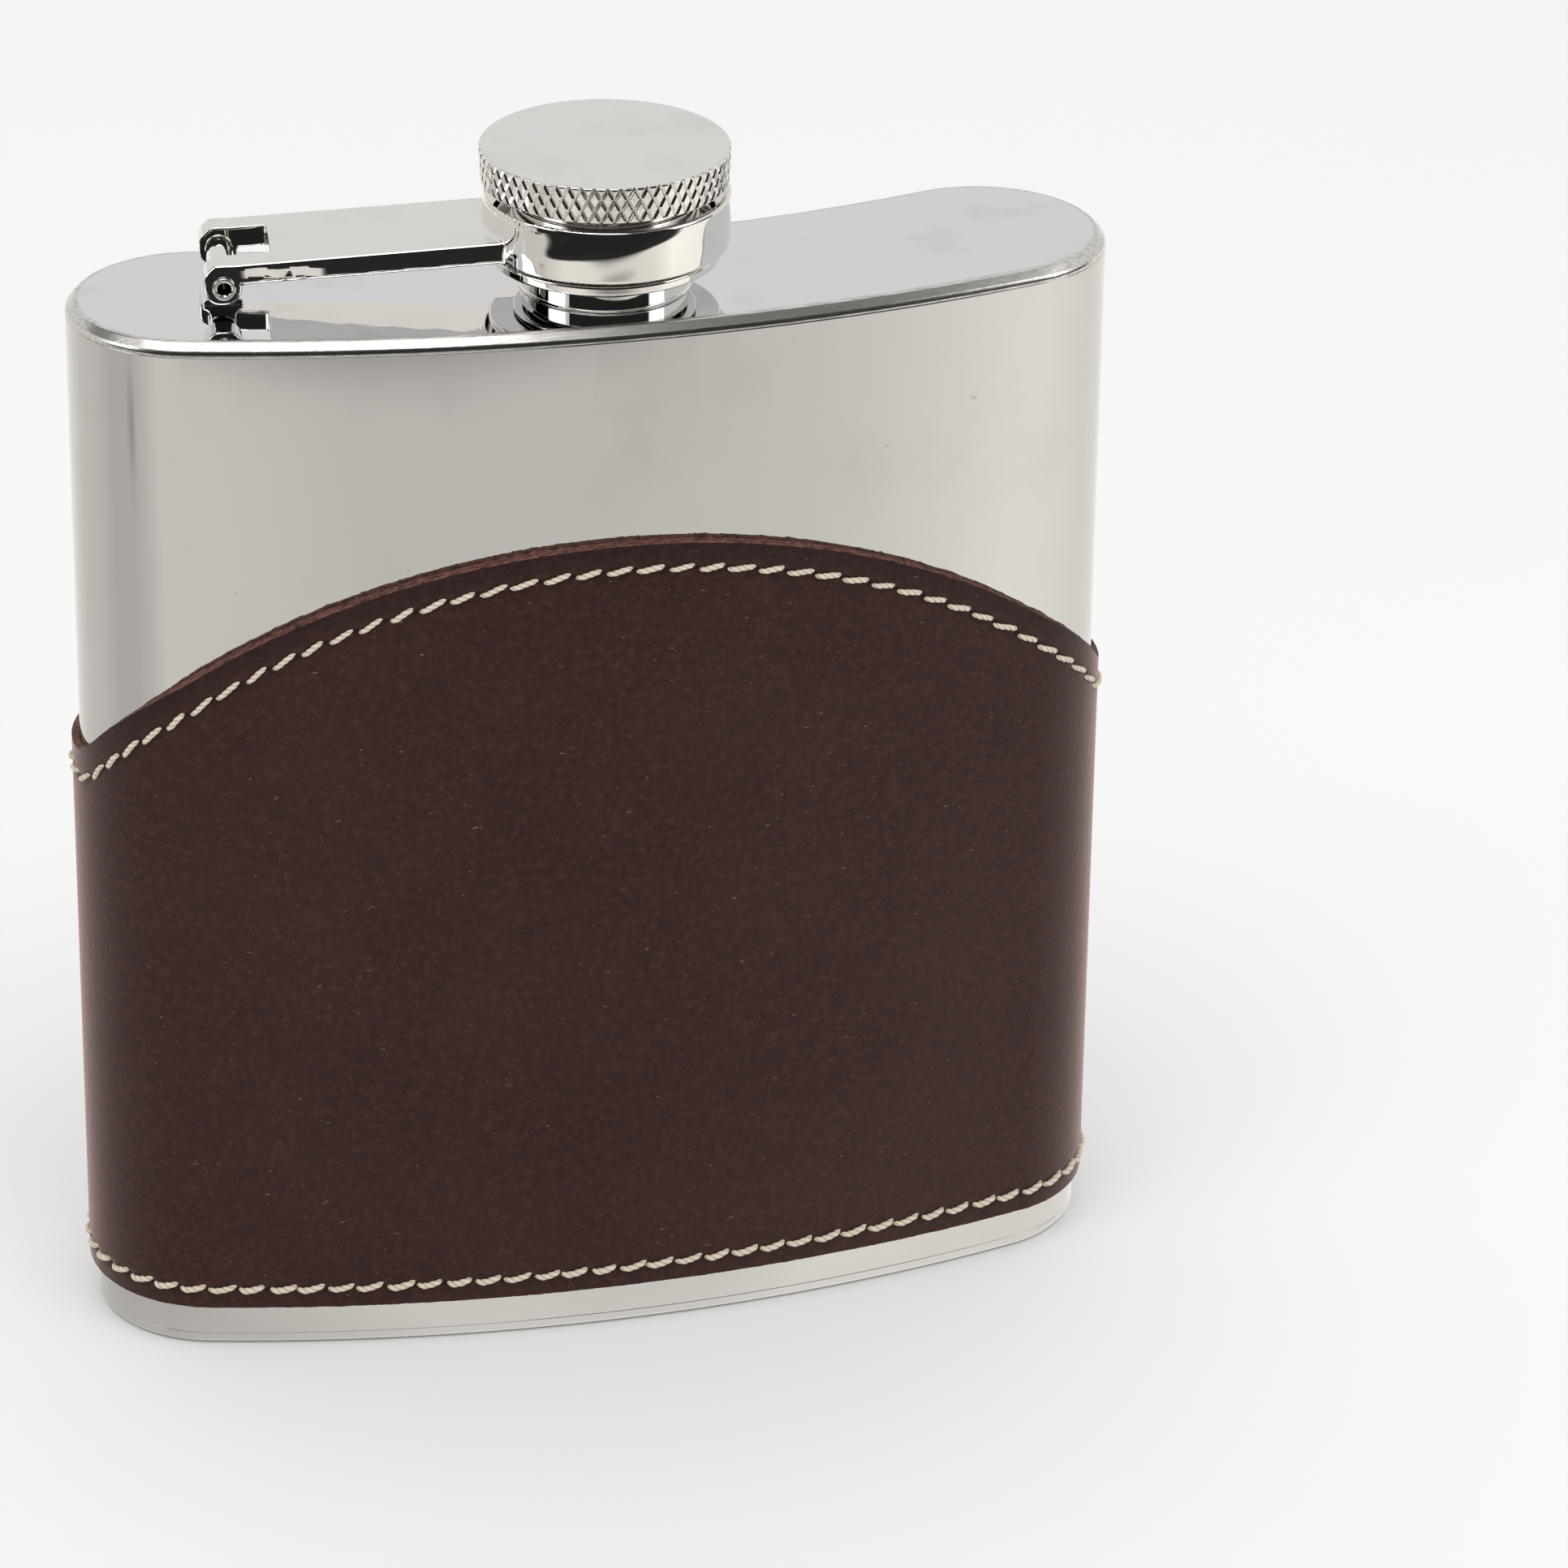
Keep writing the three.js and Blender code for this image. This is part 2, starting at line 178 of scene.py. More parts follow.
PLY_TWIST = 1.35
HOLE_PULL = 0.13  # how deep the thread pulls the leather in at a needle hole, and along the row
HOLE_PULL_REACH = 0.42
HOLE_REACH = 0.24
ROW_PULL = 0.05
ROW_PULL_REACH = 0.55
EDGE_DARKENING = 0.42  # how much darker the leather is made towards its top cut edge, against a needle hole's painted shade

CELL = 0.16  # the grid from which the cast pieces are skinned

# ---- worked out from them ----

end_x = BODY_WIDTH / 2 - END_RADIUS
front_rise = math.sqrt((FRONT_RADIUS - END_RADIUS) ** 2 - end_x ** 2)
back_rise = math.sqrt((BACK_RADIUS + END_RADIUS) ** 2 - end_x ** 2)
end_y = (FRONT_RADIUS - front_rise - END_RADIUS) / 2
front_tilt = math.atan2(front_rise, end_x)
back_tilt = math.atan2(back_rise, end_x)
quarter = math.pi / 2

cap_axis = (head_low + head_high) / 2
joints = {joint["name"]: joint for joint in frame["joints"]}
hinge = np.array(joints["arm_swing"]["pos_m"]) / MM
arm_length = math.hypot(cap_axis[0] - hinge[0], cap_axis[1] - hinge[1])
arm_yaw = math.atan2(cap_axis[1] - hinge[1], cap_axis[0] - hinge[0])

# The outline's arcs: centre, radius, start angle, turn, and 1 where it bulges out or -1 where it is hollow.
BACK_CENTRE = (0.0, end_y + back_rise)
OUTLINE = [
    (BACK_CENTRE, BACK_RADIUS, -quarter, back_tilt - quarter, -1),
    ((-end_x, end_y), END_RADIUS, back_tilt, math.pi + front_tilt - back_tilt, 1),
    ((0.0, end_y + front_rise), FRONT_RADIUS, -math.pi + front_tilt, math.pi - 2 * front_tilt, 1),
    ((end_x, end_y), END_RADIUS, -front_tilt, math.pi - back_tilt + front_tilt, 1),
    (BACK_CENTRE, BACK_RADIUS, -back_tilt, back_tilt - quarter, -1),
]
LENGTHS = [radius * abs(turn) for _, radius, _, turn, _ in OUTLINE]
STARTS = np.concatenate([[0.0], np.cumsum(LENGTHS)])
PERIMETER = STARTS[-1]
WALL_PLACES = np.linspace(0, PERIMETER, 480, endpoint=False)


# ---- places on the outline ----


def whole_turn(count):
    """Evenly spaced angles round a circle."""
    return np.linspace(0, 2 * math.pi, count, endpoint=False)


def ray_at(angle):
    """The unit directions [x, y] at these angles."""
    return np.stack([np.cos(angle), np.sin(angle)], axis=-1)


def around(t, grow=0.0):
    """Places [x, y] at distances t along the outline and grow out from it, and their outward directions."""
    t = np.atleast_1d(np.asarray(t, float)) % PERIMETER
    grow = np.broadcast_to(grow, t.shape)
    place = np.zeros(t.shape + (2,))
    outward = np.zeros(t.shape + (2,))
    which = np.clip(np.searchsorted(STARTS, t, side="right") - 1, 0, len(OUTLINE) - 1)
    for number, (centre, radius, start, turn, bulge) in enumerate(OUTLINE):
        here = which == number
        angle = start + turn * (t[here] - STARTS[number]) / LENGTHS[number]
        ray = ray_at(angle)
        reach = radius + bulge * grow[here]
        place[here] = np.array(centre) + reach[:, None] * ray
        outward[here] = bulge * ray
    return place, outward


def upright(place, z):
    """Points with x and y from place and the height z."""
    return np.concatenate([place, np.broadcast_to(z, place.shape[:-1])[..., None]], axis=-1)


# ---- outlines with rounded corners ----


def rounded(corners, closed=False, steps=5):
    """Points along straight sides joined by arcs, and the directions square to them, to the right of travel.
    Each corner is (x, y, radius)."""
    points, normals = [], []
    count = len(corners)
    for i, (x, y, radius) in enumerate(corners):
        here = np.array([x, y])
        before = here - np.array(corners[i - 1][:2])
        after = np.array(corners[(i + 1) % count][:2]) - here
        if not closed and i == 0:
            before = after
        if not closed and i == count - 1:
            after = before
        before = before / np.linalg.norm(before)
        after = after / np.linalg.norm(after)
        turn = math.atan2(before[0] * after[1] - before[1] * after[0], before @ after)
        right = np.array([before[1], -before[0]])
        if abs(turn) < 1e-6:
            points.append(here)
            normals.append(right)
            continue
        side = math.copysign(1.0, turn)
        centre = here - before * radius * math.tan(abs(turn) / 2) - side * right * radius
        for step in range(steps + 1):
            a = turn * step / steps
            spoke = right * math.cos(a) + before * math.sin(a)
            points.append(centre + side * spoke * radius)
            normals.append(spoke)
    return np.array(points), np.array(normals)


# ---- meshes ----

LOOP = (False, True)  # a grid whose last column joins its first


def surface(points, normals, material=0, wrap=(False, False)):
    """A part of a mesh from a grid of points [row, column] and its normals. wrap joins the last row or
    column to the first. A row that is one point becomes the tip of a fan."""
    rows, columns = points.shape[:2]
    index = np.arange(rows * columns).reshape(rows, columns)
    for row in range(rows):
        if np.ptp(points[row], axis=0).max() < 1e-7:
            index[row] = index[row, 0]
    if wrap[0]:
        index = np.vstack([index, index[:1]])
    if wrap[1]:
        index = np.hstack([index, index[:, :1]])
    quads = np.stack([index[:-1, :-1], index[:-1, 1:], index[1:, 1:], index[1:, :-1]], axis=-1).reshape(-1, 4)
    flat = points.reshape(-1, 3)
    facing = normals.reshape(-1, 3)
    sides = np.cross(flat[quads[:, 2]] - flat[quads[:, 0]], flat[quads[:, 3]] - flat[quads[:, 1]])
    if np.einsum("ij,ij->", sides, facing[quads].sum(axis=1)) < 0:
        quads = quads[:, ::-1]
    return {"points": flat, "normals": facing, "quads": quads, "material": np.full(len(quads), material)}


def slopes(points, guide, wrap=(False, False)):
    """The normals of a displaced grid, worked out from its neighbours and turned to the guide's side."""
    spans = []
    for axis in (0, 1):
        if wrap[axis]:
            spans.append(np.roll(points, -1, axis) - np.roll(points, 1, axis))
        else:
            spans.append(np.gradient(points, axis=axis))
    normals = np.cross(spans[0], spans[1])
    length = np.linalg.norm(normals, axis=-1, keepdims=True)
    normals = np.where(length > 1e-12, normals / np.maximum(length, 1e-12), guide)
    flip = np.einsum("ijk,ijk->ij", normals, guide) < 0
    normals[flip] *= -1
    return normals


def linked(name, data):
    """A new object in the scene."""
    made = bpy.data.objects.new(name, data)
    bpy.context.scene.collection.objects.link(made)
    return made


def make(name, parts, materials, body, stands_for, marks=()):
    """The mesh object made of these parts, riding on its body in place of its CAD nodes."""
    points = np.concatenate([part["points"] for part in parts])
    normals = np.concatenate([part["normals"] for part in parts])
    offsets = np.cumsum([0] + [len(part["points"]) for part in parts])
    faces, paints = [], []
    for part, offset in zip(parts, offsets):
        for quad, paint in zip((part["quads"] + offset).tolist(), part["material"].tolist()):
            corners = list(dict.fromkeys(quad))
            if len(corners) > 2:
                faces.append(corners)
                paints.append(paint)
    used = np.zeros(len(points), bool)
    used[np.concatenate([np.array(face) for face in faces])] = True
    number = np.cumsum(used) - 1
    faces = [[int(number[corner]) for corner in face] for face in faces]
    mesh = bpy.data.meshes.new(name)
    mesh.from_pydata(points[used] * MM, [], faces)
    mesh.polygons.foreach_set("material_index", paints)
    for material in materials:
        mesh.materials.append(material)
    mesh.shade_smooth()
    lengths = np.linalg.norm(normals[used], axis=1, keepdims=True)
    mesh.normals_split_custom_set_from_vertices(normals[used] / np.maximum(lengths, 1e-9))
    for mark in marks:
        values = np.concatenate([part.get(mark, np.zeros(len(part["points"]))) for part in parts])
        attribute = mesh.attributes.new(mark, "FLOAT", "POINT")
        attribute.data.foreach_set("value", values[used].astype(np.float32))
    made = linked(name, mesh)
    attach(made, body)
    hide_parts(*stands_for)


def turned(profile, centre, segments=192, closed=False):
    """A surface turned round an upright axis, from profile points and normals (radius, height)."""
    points, normals = profile
    across = ray_at(whole_turn(segments))
    grid = upright(points[:, None, :1] * across[None], points[:, None, 1])
    facing = upright(normals[:, None, :1] * across[None], normals[:, None, 1])
    grid[..., :2] += centre[:2]
    return surface(grid, facing, 0, (closed, True))


def lofted(profile, t, material=0, closed=False):
    """A surface that follows the body's outline, from profile points and normals (grow, height)."""
    points, normals = profile
    rings, facings = [], []
    for (grow, height), (out, rise) in zip(points, normals):
        place, outward = around(t, grow)
        rings.append(upright(place, height))
        facings.append(upright(outward * out, rise))
    return surface(np.stack(rings), np.stack(facings), material, (closed, True))


# ---- skins of shapes given by their distance ----


def skin(distance, low, high, cell=CELL):
    """The surface where distance is zero: a vertex in each cell that it crosses, pulled onto the surface."""
    axes = [np.arange(start, stop + cell, cell) for start, stop in zip(low, high)]
    inside = distance(*np.meshgrid(*axes, indexing="ij", sparse=True)) < 0
    shape = tuple(size - 1 for size in inside.shape)
    filled = np.zeros(shape, int)
    for i, j, k in np.ndindex(2, 2, 2):
        filled += inside[i:shape[0] + i, j:shape[1] + j, k:shape[2] + k]
    crossing = (filled > 0) & (filled < 8)
    number = np.full(shape, -1)
    number[crossing] = np.arange(crossing.sum())
    cells = np.argwhere(crossing)
    points = np.array(low) + (cells + 0.5) * cell
    quads = []
    for axis in range(3):
        first, second = (axis + 1) % 3, (axis + 2) % 3
        a = np.take(inside, range(inside.shape[axis] - 1), axis)
        b = np.take(inside, range(1, inside.shape[axis]), axis)
        edges = np.argwhere(a != b)
        keep = (edges[:, first] > 0) & (edges[:, second] > 0)
        keep &= (edges[:, first] < shape[first]) & (edges[:, second] < shape[second])
        edges = edges[keep]
        entering = b[tuple(edges.T)]
        ring = []
        for back_first, back_second in ((1, 1), (0, 1), (0, 0), (1, 0)):
            at = edges.copy()
            at[:, first] -= back_first
            at[:, second] -= back_second
            ring.append(number[tuple(at.T)])
        ring = np.stack(ring, axis=-1)
        ring[entering] = ring[entering][:, ::-1]
        quads.append(ring)
    quads = np.concatenate(quads)
    step = cell / 50
    for _ in range(8):
        value = distance(*points.T)
        slope = np.stack([
            distance(*(points + step * direction).T) - distance(*(points - step * direction).T)
            for direction in np.eye(3)
        ], axis=-1) / (2 * step)
        length = np.maximum(np.linalg.norm(slope, axis=1, keepdims=True), 0.3)
        points = points - np.clip(value[:, None] / length, -cell / 2, cell / 2) * slope / length
    return {
        "points": points,
        "normals": slope / length,
        "quads": quads,
        "material": np.zeros(len(quads), int),
    }


def joined(a, b, blend):
    """The distance to both shapes together, with a fillet of about blend where they meet."""
    near = np.clip(0.5 + 0.5 * (b - a) / blend, 0, 1)
    return b + (a - b) * near - blend * near * (1 - near)


def cut(a, b, blend):
    """The distance to shape a without shape b, with its new edges rounded by about blend."""
    return -joined(-a, b, blend)


def block(x, y, half_x, half_y, radius):
    """The distance to a rectangle round the origin, with rounded corners."""
    return past_both(np.abs(x) - half_x + radius, np.abs(y) - half_y + radius) - radius


def thick(outline, across, half, radius):
    """The distance to a flat outline given thickness, with rounded edges."""
    return past_both(outline + radius, np.abs(across) - half + radius) - radius


def past_both(a, b):
    """The distance to where both a and b are below zero."""
    return np.hypot(np.maximum(a, 0), np.maximum(b, 0)) + np.minimum(np.maximum(a, b), 0)


def placed_at_hinge(part):
    """Moves a part from the hinge's frame, which has +X along the arm, to the row frame."""
    c, s = math.cos(arm_yaw), math.sin(arm_yaw)
    turn = np.array([[c, -s, 0], [s, c, 0], [0, 0, 1]])
    return {**part, "points": part["points"] @ turn.T + hinge, "normals": part["normals"] @ turn.T}


# ---- materials ----


def new_material(name, roughness=0.5, metallic=0.0, **constants):
    made = bpy.data.materials.new(name)
    made.use_nodes = True
    shader = made.node_tree.nodes["Principled BSDF"]
    shader.inputs["Roughness"].default_value = roughness
    shader.inputs["Metallic"].default_value = metallic
    for key, value in constants.items():
        shader.inputs[key.replace("_", " ")].default_value = value
    return made


def node(material, kind, inputs=None, **settings):
    """A shader node with its settings, and its inputs linked or set."""
    made = material.node_tree.nodes.new("ShaderNode" + kind)
    for key, value in settings.items():
        setattr(made, key, value)
    for key, value in (inputs or {}).items():
        if isinstance(value, bpy.types.NodeSocket):
            material.node_tree.links.new(value, made.inputs[key])
        else:
            made.inputs[key].default_value = value
    return made


def feed(material, key, value):
    """Links a socket to the material's shader."""
    shader = material.node_tree.nodes["Principled BSDF"]
    material.node_tree.links.new(value, shader.inputs[key])


def place(material, size, turn=(0, 0, 0), shift=(0, 0, 0)):
    """Object coordinates in which one unit is size millimetres, along each axis."""
    coordinates = node(material, "TexCoord").outputs["Object"]
    scale = [1 / (MM * along) for along in np.broadcast_to(size, 3)]
    inputs = {"Vector": coordinates, "Scale": scale, "Rotation": turn, "Location": shift}
    return node(material, "Mapping", inputs).outputs["Vector"]


def noise(material, size, detail=3.0, roughness=0.55, **placing):
    inputs = {"Vector": place(material, size, **placing), "Scale": 1.0}
    inputs.update(Detail=detail, Roughness=roughness)
    return node(material, "TexNoise", inputs).outputs["Fac"]


def ramp(material, value, low, high, start=0.0, stop=1.0):
    """Maps value from start..stop to low..high."""
    inputs = {"Value": value, "From Min": start, "From Max": stop, "To Min": low, "To Max": high}
    return node(material, "MapRange", inputs).outputs["Result"]


def blended(material, factor, first, second):
    inputs = {"Factor": factor, 6: first, 7: second}
    return node(material, "Mix", inputs, data_type="RGBA").outputs[2]


def patched(material, value, start, stop, first, second, most=1.0):
    """The first colour, which turns to the second, up to most, where value goes from start to stop."""
    return blended(material, ramp(material, value, 0.0, most, start, stop), first, second)


def bumped(material, height, distance, strength=1.0, under=None):
    inputs = {"Height": height, "Distance": distance * MM, "Strength": strength}
    if under is not None:
        inputs["Normal"] = under
    return node(material, "Bump", inputs).outputs["Normal"]


def polished_steel():
    """The drawn wall, polished but hazy, with hairlines and the smudges of fingers."""
    made = new_material("polished_steel", metallic=1.0)
    smudge = noise(made, (11.0, 11.0, 15.0), detail=5.0, shift=(3.1, 0.4, 7.7))
    specks = noise(made, 0.8, detail=1.0, shift=(4.0, 8.0, 2.0))
    tint = patched(made, smudge, 0.52, 0.8, (0.6, 0.592, 0.577, 1), (0.565, 0.55, 0.53, 1))
    feed(made, "Base Color", patched(made, specks, 0.8, 0.83, tint, (0.3, 0.29, 0.27, 1), most=0.5))
    feed(made, "Roughness", ramp(made, smudge, 0.05, 0.12, 0.4, 0.8))
    wave = bumped(made, noise(made, (16.0, 16.0, 40.0), detail=1.0), 0.016)
    hairs = noise(made, (0.35, 0.35, 9.0), detail=2.0, turn=(0.0, 0.08, 0.0))
    feed(made, "Normal", bumped(made, hairs, 0.0006, under=wave))
    return made


def metal(name, marks, tint, polish, waves, wave_height):
    """Metal that is duller and rougher in its marks. marks and waves are the settings of their noise, tint
    is (start, stop, clean, dull) and polish is (smooth, rough, start, stop)."""
    made = new_material(name, metallic=1.0)
    mark = noise(made, **marks)
    feed(made, "Base Color", patched(made, mark, *tint))
    feed(made, "Roughness", ramp(made, mark, *polish))
    feed(made, "Normal", bumped(made, noise(made, **waves), wave_height))
    return made


def rim_steel():
    """Rounded edges of the plates, dressed with an abrasive after welding."""
    made = new_material("rim_steel", metallic=1.0)
    strokes = noise(made, (2.6, 0.22, 0.22), detail=3.0, turn=(0.0, 0.35, 0.5))
    fine = noise(made, (1.2, 0.09, 0.09), detail=2.0, turn=(0.0, 0.35, 0.5))
    tint = patched(made, strokes, 0.4, 0.7, (0.74, 0.72, 0.68, 1), (0.5, 0.48, 0.44, 1))
    feed(made, "Base Color", tint)
    feed(made, "Roughness", ramp(made, strokes, 0.12, 0.34))
    feed(made, "Normal", bumped(made, fine, 0.003, under=bumped(made, strokes, 0.006)))
    return made


def leather_face():
    """Smooth dark brown leather: a red-brown mottle, fine pores, pale specks and a waxed sheen."""
    sheen = {"Sheen_Weight": 0.85, "Sheen_Roughness": 0.35, "Sheen_Tint": (0.85, 0.58, 0.54, 1)}
    made = new_material("leather_face", Specular_IOR_Level=0.16, **sheen)
    cloud = noise(made, 18.0, detail=4.0)
    mottle = noise(made, (0.7, 0.7, 0.7), detail=5.0, roughness=0.75)
    grain = noise(made, (0.34, 0.34, 0.34), detail=3.0, roughness=0.65, shift=(2.0, 7.0, 5.0))
    fibre = noise(made, (0.8, 0.8, 0.13), detail=3.0, turn=(0.0, 0.9, 0.3))
    fleck = noise(made, (0.42, 0.42, 0.3), detail=1.0, shift=(9.0, 3.0, 1.0))
    lint = noise(made, (1.1, 0.24, 0.24), detail=1.0, turn=(0.4, 0.9, 0.6), shift=(1.0, 6.0, 2.0))
    base = patched(made, cloud, 0.3, 0.7, (0.025, 0.0075, 0.0065, 1), (0.034, 0.0128, 0.0112, 1))
    mottled = patched(made, mottle, 0.45, 0.75, base, (0.075, 0.026, 0.019, 1), most=0.9)
    grained = patched(made, grain, 0.52, 0.75, mottled, (0.02, 0.009, 0.009, 1), most=0.5)
    flecked = patched(made, fleck, 0.76, 0.82, grained, (0.2, 0.13, 0.09, 1), most=0.7)
    linted = patched(made, lint, 0.77, 0.8, flecked, (0.3, 0.22, 0.17, 1), most=0.5)
    # The needle holes are painted near black: painted shade for holes that the mesh does not cut. The leather
    # is also made darker towards its top cut edge.
    hole_shade_and_edge_dark = node(made, "Attribute", attribute_name="hole_shade_and_edge_dark").outputs["Fac"]
    feed(made, "Base Color", blended(made, hole_shade_and_edge_dark, linted, (0.004, 0.002, 0.002, 1)))
    feed(made, "Roughness", ramp(made, mottle, 0.36, 0.6, 0.3, 0.75))
    pore_place = {"Vector": place(made, 0.55), "Scale": 1.0}
    pores = node(made, "TexVoronoi", pore_place, feature="SMOOTH_F1").outputs["Distance"]
    fine = bumped(made, pores, 0.035, strength=0.5)
    feed(made, "Normal", bumped(made, fibre, 0.02, under=bumped(made, grain, 0.03, under=fine)))
    return made


def leather_edge():
    """The raw cut edge, where the paler fibres of the hide show."""
    made = new_material("leather_edge", roughness=0.85)
    fibre = noise(made, (0.7, 0.35, 0.6), detail=4.0, roughness=0.75)
    tone = patched(made, fibre, 0.38, 0.66, (0.03, 0.009, 0.007, 1), (0.24, 0.09, 0.062, 1))
    feed(made, "Base Color", tone)
    feed(made, "Normal", bumped(made, fibre, 0.12))
    return made


def waxed_thread():
    """Cream waxed thread, with painted shade down between its plies."""
    made = new_material("waxed_thread", roughness=0.6, Sheen_Weight=0.2)
    depth = node(made, "Attribute", attribute_name="ply").outputs["Fac"]
    fuzz = noise(made, 0.18, detail=3.0)
    tone = blended(made, fuzz, (0.62, 0.53, 0.4, 1), (0.8, 0.73, 0.6, 1))
    feed(made, "Base Color", blended(made, depth, tone, (0.26, 0.17, 0.1, 1)))
    feed(made, "Normal", bumped(made, fuzz, 0.03))
    return made


def rubber():
    """Pale gasket rubber with a faint moulded bloom."""
    made = new_material("rubber", roughness=0.6)
    bloom = noise(made, 1.1, detail=4.0)
    feed(made, "Base Color", blended(made, bloom, (0.66, 0.63, 0.56, 1), (0.78, 0.76, 0.7, 1)))
    feed(made, "Roughness", ramp(made, bloom, 0.5, 0.75))
    feed(made, "Normal", bumped(made, bloom, 0.02))
    return made


def studio_floor():
    made = new_material("studio_floor", roughness=0.9)
    cloud = noise(made, 120.0, detail=2.0)
    feed(made, "Base Color", blended(made, cloud, (0.92, 0.92, 0.915, 1), (0.935, 0.935, 0.93, 1)))
    return made


STEEL = polished_steel()
RIM = rim_steel()
# The flat mirror faces of the top and bottom plates.
PLATE = metal(
    "plate_steel", {"size": 9.0, "detail": 4.0, "shift": (1.0, 2.0, 0.0)},
    (0.55, 0.75, (0.755, 0.755, 0.775, 1), (0.66, 0.655, 0.65, 1)), (0.025, 0.1, 0.5, 0.75),
    {"size": 12.0, "detail": 1.0}, 0.004,
)
# The cap's satin turned face, handled until it is smooth.
SATIN = metal(
    "satin_steel", {"size": 6.0, "detail": 4.0, "shift": (0.0, 5.0, 0.0)},
    (0.5, 0.75, (0.8, 0.785, 0.76, 1), (0.74, 0.715, 0.69, 1)), (0.1, 0.2, 0.4, 0.7),
    {"size": 0.5, "detail": 2.0}, 0.0008,
)
# The knurl, rolled bright, with a little dirt.
KNURLED = metal(
    "knurled_steel", {"size": 0.4, "detail": 3.0},
    (0.45, 0.85, (0.8, 0.78, 0.74, 1), (0.62, 0.58, 0.53, 1)), (0.05, 0.12),
    {"size": 0.4, "detail": 3.0}, 0.004,
)
# Bright nickel-chrome plate on a hand-polished casting.
CHROME = metal(
    "chrome", {"size": 3.5, "detail": 5.0},
    (0.45, 0.85, (0.815, 0.795, 0.755, 1), (0.75, 0.73, 0.695, 1)), (0.02, 0.07, 0.5, 0.8),
    {"size": 2.2, "detail": 2.0}, 0.003,
)
LEATHER = leather_face()
CUT_EDGE = leather_edge()
THREAD = waxed_thread()
RUBBER = rubber()


# ---- steel body ----


def body_wall():
    low, high = wall_low[2], wall_high[2]
    profile = rounded([
        (-WALL, low, 0.05),
        (0.0, low, BASE_CHAMFER),
        (0.0, high, SEAM_CHAMFER),
        (-WALL, high, 0.05),
    ], closed=True)
    wall = lofted(profile, WALL_PLACES, closed=True)
    make("body_wall_skin", [wall], [STEEL], "flask", ["body_wall"])


def plate_part(edge_height, face_height, edge_round, chamfer, hole):
    """The rim of a plate and its outer face, which runs in to a hole or a point on the cap's axis."""
    side = math.copysign(1.0, face_height - edge_height)
    corners = [
        (-edge_round - RIM_REACH, edge_height, 0.05),
        (0.0, edge_height, chamfer),
        (0.0, face_height - side * edge_round * RIM_DROP, edge_round * RIM_SIDE_ROUND),
        (-edge_round * RIM_RUN, face_height, edge_round * RIM_TOP_ROUND),
        (-edge_round - RIM_REACH, face_height, 0.05),
    ]
    points, normals = rounded(corners, steps=8)
    rim = lofted((points, side * normals), WALL_PLACES, 1)
    ring, _ = around(WALL_PLACES, -edge_round - RIM_REACH)
    centre = cap_axis[:2]
    ray = (ring - centre) / np.linalg.norm(ring - centre, axis=1, keepdims=True)
    hub = centre + ray * hole
    parts = [rim]
    for height, facing in ((face_height, side), (edge_height, -side)):
        rows = np.stack([upright(ring, height), upright(hub, height)])
        parts.append(surface(rows, np.broadcast_to(UP * facing, rows.shape), 0, LOOP))
    if hole > 0:
        rows = np.stack([upright(hub, edge_height), upright(hub, face_height)])
        parts.append(surface(rows, np.broadcast_to(upright(-ray, 0.0), rows.shape), 0, LOOP))
    return parts


def plates():
    top = plate_part(wall_high[2], plate_high[2], TOP_ROUND, SEAM_CHAMFER, NECK_HOLE)
    make("top_plate_skin", top, [PLATE, RIM], "flask", ["top_plate"])
    base = plate_part(wall_low[2], base_low[2], BASE_ROUND, BASE_CHAMFER, 0.0)
    make("bottom_plate_skin", base, [PLATE, STEEL], "flask", ["bottom_plate"])


# ---- threads, neck and cap ----


def ridge(angle, height, low, high):
    """The share, 0 to 1, of a right-hand thread's depth at a place. It fades in and out at its two ends."""
    turns = height / THREAD_PITCH - angle / (2 * math.pi)
    wave = 0.5 + 0.5 * np.cos(2 * math.pi * turns)
    crest = np.clip((wave - THREAD_FLAT) / (1 - 2 * THREAD_FLAT), 0, 1)
    ends = np.clip((height - low) / THREAD_PITCH, 0, 1) * np.clip((high - height) / THREAD_PITCH, 0, 1)
    return crest * ends


def threaded(radius, low, high, depth, inside, phase=0.0, segments=160):
    """A cylinder wall with a screw thread that stands out by depth. inside makes it a nut's thread."""
    heights = np.linspace(low, high, max(2, int((high - low) / 0.09)))
    angle = whole_turn(segments)
    grown = depth * ridge(angle[None], heights[:, None] + phase, low + phase, high + phase)
    side = -1.0 if inside else 1.0
    reach = radius + side * grown
    across = ray_at(angle)
    points = upright(reach[..., None] * across[None], np.broadcast_to(heights[:, None], reach.shape))
    guide = upright(np.broadcast_to(side * across, reach.shape + (2,)), 0.0)
    points[..., :2] += cap_axis[:2]
    return surface(points, slopes(points, guide, LOOP), 0, LOOP)


def neck():
    low, high = neck_low[2], neck_high[2]
    thread_low = NECK_BOSS_TOP + 0.3
    thread_high = high - 0.9
    points, normals = rounded([
        (NECK_ROOT, thread_high, 0.05),
        (NECK_ROOT, high, 0.45),
        (NECK_BORE, high, 0.3),
        (NECK_BORE, low, 0.1),
        (NECK_SPIGOT, low, 0.1),
        (NECK_SPIGOT, BODY_HEIGHT + 0.1, 0.05),
        (NECK_BOSS + 0.25, BODY_HEIGHT + 0.02, 0.02),
        (NECK_BOSS, BODY_HEIGHT + 0.22, 0.2),
        (NECK_BOSS, NECK_BOSS_TOP, 0.2),
        (NECK_ROOT, NECK_BOSS_TOP, 0.1),
        (NECK_ROOT, thread_low, 0.05),
    ])
    body = turned((points, -normals), cap_axis)
    thread = threaded(NECK_ROOT, thread_low, thread_high, THREAD_DEPTH, inside=False)
    make("neck_skin", [body, thread], [CHROME], "flask", ["neck"])


